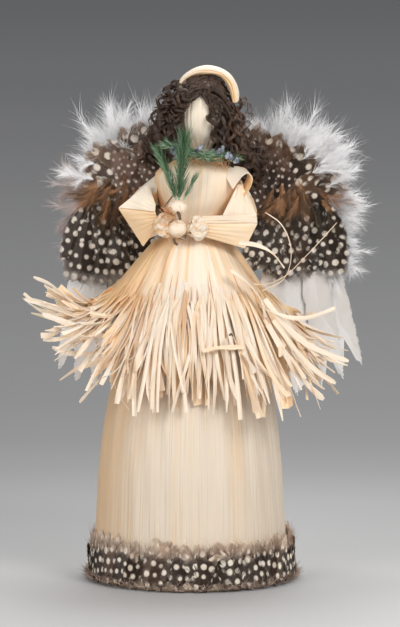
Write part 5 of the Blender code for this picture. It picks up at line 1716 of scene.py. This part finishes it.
def flights(label, side):
    """The five long white feathers that hang under a wing."""
    first = PEPLUM_RADIUS + FLIGHT_CLEARANCE
    for index, ((out, long), degrees) in enumerate(zip(FLIGHT_SHARES, FLIGHT_DIRECTIONS[label])):
        bundle, chance = start_piece(f"flight_plume_{label}_{index + 1}")
        root = first + (WING_SPAN - first) * out
        layer = BACKING_WALL + GAP + FEATHER_WALL / 2 + (index % 3) * (FEATHER_WALL + LAP_GAP)
        matrix = feather_matrix(side, root, 0, layer, degrees)
        add_feather(
            bundle, chance, matrix, FLIGHT_REACH * long * 1.04, FLIGHT_WIDTH, 180, 30,
            chance.uniform(0.1, 0.8), shape=FLIGHT_SHAPE, bow=0.012, cup=0.08, loose=0.5, soft=0.15)
        bundle.piece(WHITE, "white_feather", f"flight_feather_{label}_{index + 1}")


def plume(chance, root, aim, length, spread, count, radius):
    """A small downy feather: filaments leave a bent midrib on both sides and curl at their tips."""
    rib = np.linspace(0, 1, 9)[:, None]
    bend = chance.normal(0, 0.16, 3) * (1, 0.5, 1)
    midrib = root + aim * length * 0.66 * rib + bend * length * rib ** 2
    places = chance.uniform(0.0, 1.0, count) * 8
    low = np.minimum(places.astype(int), 7)
    start = midrib[low] + (midrib[low + 1] - midrib[low]) * (places - low)[:, None]
    ahead = unit(midrib[low + 1] - midrib[low])
    aside = unit(np.cross(ahead, (0.0, 1.0, 0.0))) * chance.choice((-1, 1), (count, 1))
    aims = ahead + aside * chance.uniform(0.0, spread * 2.0, (count, 1))
    aims = aims + chance.normal(0, 0.12, (count, 3))
    reach = length * chance.uniform(0.25, 0.55, (count, 1, 1)) * (1.15 - places[:, None, None] / 8 * 0.3)
    lines = bent_lines(chance, start, unit(aims), reach, 0.15, PLUME_RINGS)
    radii = radius * (1.12 - np.linspace(0, 1, PLUME_RINGS)) * chance.uniform(0.6, 1.3, (count, 1))
    return lines, radii


def fluff(name, side, rows, finish, slot, radius, *nodes):
    """Tufts along lines in the wing's plane. Rows: tufts, filaments, first and last root, direction
    in degrees, length, spread and how far in front."""
    bundle, chance = start_piece(name)
    matrix = np.array(wing_frame(side))
    for tufts, filaments, first, last, length, spread, layer in rows:
        all_lines, all_radii, tints = [], [], []
        for index in range(tufts):
            part = (index + chance.random()) / tufts
            out, up, degrees = [a + (b - a) * part for a, b in zip(first, last)]
            angle = math.radians(degrees + chance.normal(0, 14))
            root = np.array((side * out, layer + chance.normal(0, 0.0012), up))
            root = root + chance.normal(0, 0.0026, 3) * (1, 0.3, 1)
            aim = np.array((side * math.cos(angle), chance.normal(0, 0.14), math.sin(angle)))
            lines, radii = plume(
                chance, root, unit(aim), length * chance.uniform(0.72, 1.12), spread, filaments, radius)
            all_lines.append(lines)
            all_radii.append(radii)
            tints.append(np.clip(chance.random() + chance.normal(0, 0.22, filaments), 0, 1))
        lines = set_place(np.concatenate(all_lines), matrix)
        bundle.rods(lines, np.concatenate(all_radii), np.concatenate(tints))
    bundle.piece(finish, slot, *nodes)


# Feathers, first and last root out and up and direction in degrees, length and width
UPPER_FEATHERS = {
    "left": (
        (10, (0.030, 0.007, 14), (0.025, 0.012, 98), 0.0305, 0.0140),
        (9, (0.028, 0.006, 12), (0.022, 0.010, 102), 0.0260, 0.0130),
        (8, (0.026, 0.004, 12), (0.019, 0.008, 106), 0.0210, 0.0120),
    ),
    "right": (
        (10, (0.034, 0.006, 6), (0.026, 0.011, 98), 0.0318, 0.0150),
        (9, (0.032, 0.005, 8), (0.023, 0.009, 102), 0.0290, 0.0140),
        (8, (0.030, 0.004, 10), (0.020, 0.008, 106), 0.0225, 0.0125),
    ),
}
LOWER_FEATHERS = {
    "left": (
        (10, (0.060, 0.001, -82), (0.034, 0.000, -100), 0.0340, 0.0135),
        (9, (0.061, 0.004, -78), (0.031, 0.004, -102), 0.0290, 0.0130),
        (9, (0.059, 0.006, -64), (0.028, 0.006, -104), 0.0200, 0.0120),
    ),
    "right": (
        (10, (0.064, 0.001, -84), (0.036, 0.000, -102), 0.0295, 0.0135),
        (9, (0.064, 0.004, -78), (0.032, 0.004, -104), 0.0290, 0.0130),
        (9, (0.062, 0.006, -66), (0.029, 0.006, -106), 0.0200, 0.0120),
    ),
}
INNER_FEATHERS = (
    (5, (0.036, 0.003, 82), (0.025, 0.006, 100), 0.0285, 0.0110),
    (5, (0.035, -0.002, 76), (0.024, -0.001, 98), 0.0240, 0.0100),
)
# Plumes, filaments, first and last root out and up and direction, length, spread and layer
MARABOU_PLUMES = {
    "left": (
        (50, 76, (0.042, 0.027, 74), (0.020, 0.028, 106), 0.0280, 0.28, 0.0030),
        (42, 78, (0.045, 0.017, 40), (0.041, 0.027, 74), 0.0272, 0.28, 0.0030),
        (12, 70, (0.047, 0.017, 40), (0.049, 0.010, 4), 0.0190, 0.35, 0.0020),
        (7, 70, (0.053, 0.026, 30), (0.055, 0.017, 0), 0.0150, 0.32, -0.0062),
    ),
    "right": (
        (48, 74, (0.052, 0.026, 50), (0.024, 0.027, 102), 0.0260, 0.26, 0.0030),
        (32, 88, (0.064, 0.010, 14), (0.052, 0.027, 50), 0.0235, 0.26, 0.0030),
        (22, 80, (0.068, -0.012, -14), (0.065, 0.010, 14), 0.0190, 0.30, 0.0020),
        (13, 70, (0.050, 0.030, 50), (0.061, 0.020, 16), 0.0180, 0.32, -0.0066),
        (24, 74, (0.070, -0.034, -44), (0.069, -0.012, -14), 0.0165, 0.35, 0.0030),
    ),
}
# Down in other colours: material, then rows like those above
TUFTS = {
    "left": (
        ("rust", (
            (20, 84, (0.028, 0.016, -92), (0.040, 0.018, -80), 0.0165, 0.26, -0.0075),
            (22, 84, (0.042, 0.014, -60), (0.054, 0.012, -20), 0.0155, 0.28, -0.0068),
        )),
        ("olive", ((22, 84, (0.026, 0.006, -104), (0.052, 0.004, -70), 0.0150, 0.16, -0.0062),)),
        ("pink", (
            (16, 64, (0.056, 0.014, 22), (0.056, 0.004, -14), 0.0215, 0.30, -0.0030),
            (18, 60, (0.062, 0.002, -20), (0.063, -0.020, -44), 0.0150, 0.32, 0.0010),
        )),
    ),
    "right": (
        ("rust", (
            (26, 84, (0.036, 0.014, -98), (0.050, 0.013, -86), 0.0165, 0.26, -0.0075),
            (7, 60, (0.060, 0.013, -50), (0.064, 0.006, -30), 0.0085, 0.30, -0.0056),
        )),
        ("olive", ((26, 84, (0.028, 0.006, -104), (0.064, 0.005, -60), 0.0150, 0.16, -0.0062),)),
        ("pink", ((10, 60, (0.066, 0.010, 20), (0.066, -0.002, -20), 0.0120, 0.30, -0.0010),)),
    ),
}
FLIGHT_DIRECTIONS = {"left": (-90, -88, -85, -82, -79), "right": (-90, -86, -81, -77, -73)}


def wing(label, side):
    """A wing: flight feathers, three kinds of coverts, white fluff and coloured down."""
    flights(label, side)
    coverts(label, side, "upper_coverts", UPPER_FEATHERS[label], BIG_SPOTTED, f"upper_coverts_{label}")
    coverts(label, side, "inner_coverts", INNER_FEATHERS, SMALL_SPOTTED)
    coverts(label, side, "lower_coverts", LOWER_FEATHERS[label], SPOTTED, f"lower_coverts_{label}")
    fluff(f"marabou_{label}_fluff", side, MARABOU_PLUMES[label], FLUFF, "white_fluff", 0.000095,
          f"marabou_{label}")
    finishes = {"rust": RUST, "olive": OLIVE, "pink": PINK}
    for kind, rows in TUFTS[label]:
        fluff(f"{kind}_{label}_fluff", side, rows, finishes[kind], "spotted_feather", 0.00008)


# Hem

# Feathers and their length in the back row and the front row, and the width of all
HEM_ROWS = ((10, 0.0212), (10, 0.0165))
HEM_FEATHER_WIDTH = 0.0130
# Wisps, lowest and highest height share of the roots, shortest and longest, sway and radius
HEM_WISPS = (
    (420, 0.085, 0.125, 0.0025, 0.0070, 0.30, 0.00008),
    (420, -0.002, 0.020, 0.0020, 0.0050, 1.3, 0.00014),
)


def hem_band(index):
    """Short spotted feathers set upright round the hem, with brown wisps above and down below."""
    bundle, chance = start_piece(f"hem_feather_row_{index + 1}")
    each = 360 / HEM_BANDS
    first = 360 / SKIRT_COLUMNS * (index * SKIRT_COLUMNS / HEM_BANDS + 3)
    for layer, (count, length) in enumerate(HEM_ROWS):
        for feather_index in range(count):
            turn = math.radians(first + each * (feather_index + 0.5 + chance.normal(0, 0.14)) / count)
            radius, _ = off_lining(0.01, HUSK_STACK + 0.0010 + layer * 0.0007 + left_swell(turn, 0.05))
            foot = round_axis(turn, radius, 0.0006)
            matrix = (
                Matrix.Translation(Vector(foot)) @ Matrix.Rotation(turn, 4, "Z")
                @ Matrix.Rotation(math.radians(-7.5 + chance.uniform(-1.5, 2)), 4, "X")
                @ Matrix.Rotation(math.radians(chance.normal(0, 15)), 4, "Y"))
            long = length * chance.uniform(0.82, 1.06)
            add_feather(bundle, chance, matrix, long, HEM_FEATHER_WIDTH, 38, 46, chance.random(),
                        shape=HEM_SHAPE, bow=0.0, cup=0.09, loose=0.7)
    bundle.piece(HEM_SPOTTED, "spotted_feather", f"hem_feathers_{index + 1}")
    wisps = Bundle(f"hem_wisps_{index + 1}")
    for count, low, high, short, long, sway, thick in HEM_WISPS:
        turn = np.radians(first + each * chance.random(count))
        outside = HUSK_STACK + 0.0018 + left_swell(turn, 0.05)
        radius, height = off_lining(chance.uniform(low, high, count), outside)
        root = round_axis(turn, radius, np.maximum(height, 0.0008))
        aim = unit(chance.normal(0, sway, (count, 3)) * (1, 1, 0.1) + (0, 0, 1))
        reach = chance.uniform(short, long, (count, 1, 1))
        lines = bent_lines(chance, root, aim, reach, 0.12, WISP_RINGS)
        lines[..., 2] = np.maximum(lines[..., 2], 0.0005)
        thin = thick * (1.15 - np.linspace(0, 1, WISP_RINGS))
        wisps.rods(lines, thin[None], chance.uniform(0, 1, count))
    wisps.piece(HEM_DOWN, "spotted_feather")


# The pieces of the model that stay as they are

def finish_model_pieces():
    """The model's own pieces that stay in sight only get a finish."""
    finishes = (
        (ROLLED, ("skirt_lining", "arm_roll", "wing_backing_left", "wing_backing_right")),
        (WADDING, ("torso_core", "head_core")),
        (THREAD, ("waist_tie", "neck_tie")),
    )
    for finish, names in finishes:
        for name in names:
            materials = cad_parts[name].data.materials
            materials.clear()
            materials.append(finish)


# Floor, camera and lamps

FLOOR_REACH = 5.0
# Grey of the floor, by the distance from a point before the doll as a share of the reach. The greys are
# painted light and shade: pale where the backdrop is lit and darker where its light falls off.
FLOOR_GREYS = (
    (0.154, 0.520), (0.165, 0.500), (0.179, 0.427), (0.203, 0.387), (0.229, 0.331), (0.250, 0.257),
    (0.271, 0.217), (0.300, 0.206), (0.331, 0.217), (0.364, 0.242), (0.399, 0.291), (0.436, 0.365),
    (0.475, 0.456), (0.517, 0.526), (0.562, 0.575), (0.634, 0.551), (0.687, 0.489), (0.709, 0.468),
)


def floor():
    """A plain floor, pale round the doll and dark far behind it, in greys of painted light and shade."""
    bm = bmesh.new()
    bmesh.ops.create_circle(bm, cap_ends=True, segments=96, radius=60)
    bmesh.ops.translate(bm, verts=bm.verts, vec=(0, 0, -0.0002))
    mesh = mesh_of(bm, "floor")
    f = Finish("pale_floor", roughness=0.6, specular_ior_level=0.2)
    away = f.node("VectorMath", {"operation": "DISTANCE"}, vector=f.place())
    away.inputs[1].default_value = (0, -0.9, 0)
    distance = Value(f, away.outputs["Value"])
    stops = [(place, (grey, grey, grey)) for place, grey in FLOOR_GREYS]
    ramp = f.node("ValToRGB", {"stops": stops}, fac=distance / FLOOR_REACH)
    mesh.materials.append(f.paint(ramp.outputs["Color"]))
    plane = bpy.data.objects.new("floor", mesh)
    bpy.context.scene.collection.objects.link(plane)


VIEW_TARGET = Vector((0.00325, 0, 0.1331))
VIEW_DISTANCE = 5.0
VIEW_DOWN = math.radians(8)
VIEW_HEIGHT = 0.3135


def camera():
    """A long lens that looks down a little, as in the photo."""
    data = bpy.data.cameras.new("camera")
    data.sensor_width = 36
    data.lens = data.sensor_width * VIEW_DISTANCE / VIEW_HEIGHT
    view = bpy.data.objects.new("camera", data)
    bpy.context.scene.collection.objects.link(view)
    offset = Vector((0, -math.cos(VIEW_DOWN), math.sin(VIEW_DOWN))) * VIEW_DISTANCE
    view.location = VIEW_TARGET + offset
    view.rotation_euler = (math.pi / 2 - VIEW_DOWN, 0, 0)
    bpy.context.scene.camera = view


def lamp(name, place, size, power, colour):
    data = bpy.data.lights.new(name, "AREA")
    data.shape = "DISK"
    data.size = size
    data.energy = power
    data.color = colour
    light = bpy.data.objects.new(name, data)
    bpy.context.scene.collection.objects.link(light)
    light.visible_camera = False
    light.location = place
    light.rotation_euler = (VIEW_TARGET - Vector(place)).to_track_quat("-Z", "Y").to_euler()


def studio():
    """Three soft lamps and a pale grey world."""
    lamp("key", (0.66, -0.92, 0.92), 0.7, 12.0, (1.0, 0.985, 0.97))
    lamp("fill", (-0.80, -0.95, 0.65), 0.9, 8.0, (1.0, 0.985, 0.97))
    lamp("back", (0.1, 0.60, 1.00), 0.9, 12.0, (1.0, 1.0, 1.0))
    world = bpy.data.worlds.new("studio")
    world.use_nodes = True
    bpy.context.scene.world = world
    back = world.node_tree.nodes["Background"]
    back.inputs["Color"].default_value = (0.78, 0.79, 0.82, 1)
    back.inputs["Strength"].default_value = 0.27
    bpy.context.scene.view_settings.view_transform = "Standard"


camera()
studio()
floor()
finish_model_pieces()
for index in range(HUSK_PANELS):
    skirt_leaf(index)
for index in range(HEM_BANDS):
    hem_band(index)
peplum()
slits()
loose_strips()
bodice_half("bodice_front_husk", True, "bodice_front")
bodice_half("bodice_back_husk", False, "bodice_back")
for label, side, table in (("left", -1, LEFT_SLEEVE_SHARES), ("right", 1, RIGHT_SLEEVE_SHARES)):
    sleeve(label, side, table)
    cuff(label, side, table)
for row in HANDS:
    hand(*row)
head()
head_band()
hair_side("left", -1, LEFT_INNER_EDGE, LEFT_OUTER_EDGE)
hair_side("right", 1, RIGHT_INNER_EDGE, RIGHT_OUTER_EDGE)
hair_crown()
hair_back()
for row in SPRIGS:
    sprig(*row)
garland()
neck_fibres()
hand_fibres()
stem_ends()
for label, clusters in BERRY_CLUSTERS.items():
    berries(label, clusters)
for label, side in (("left", -1), ("right", 1)):
    wing(label, side)
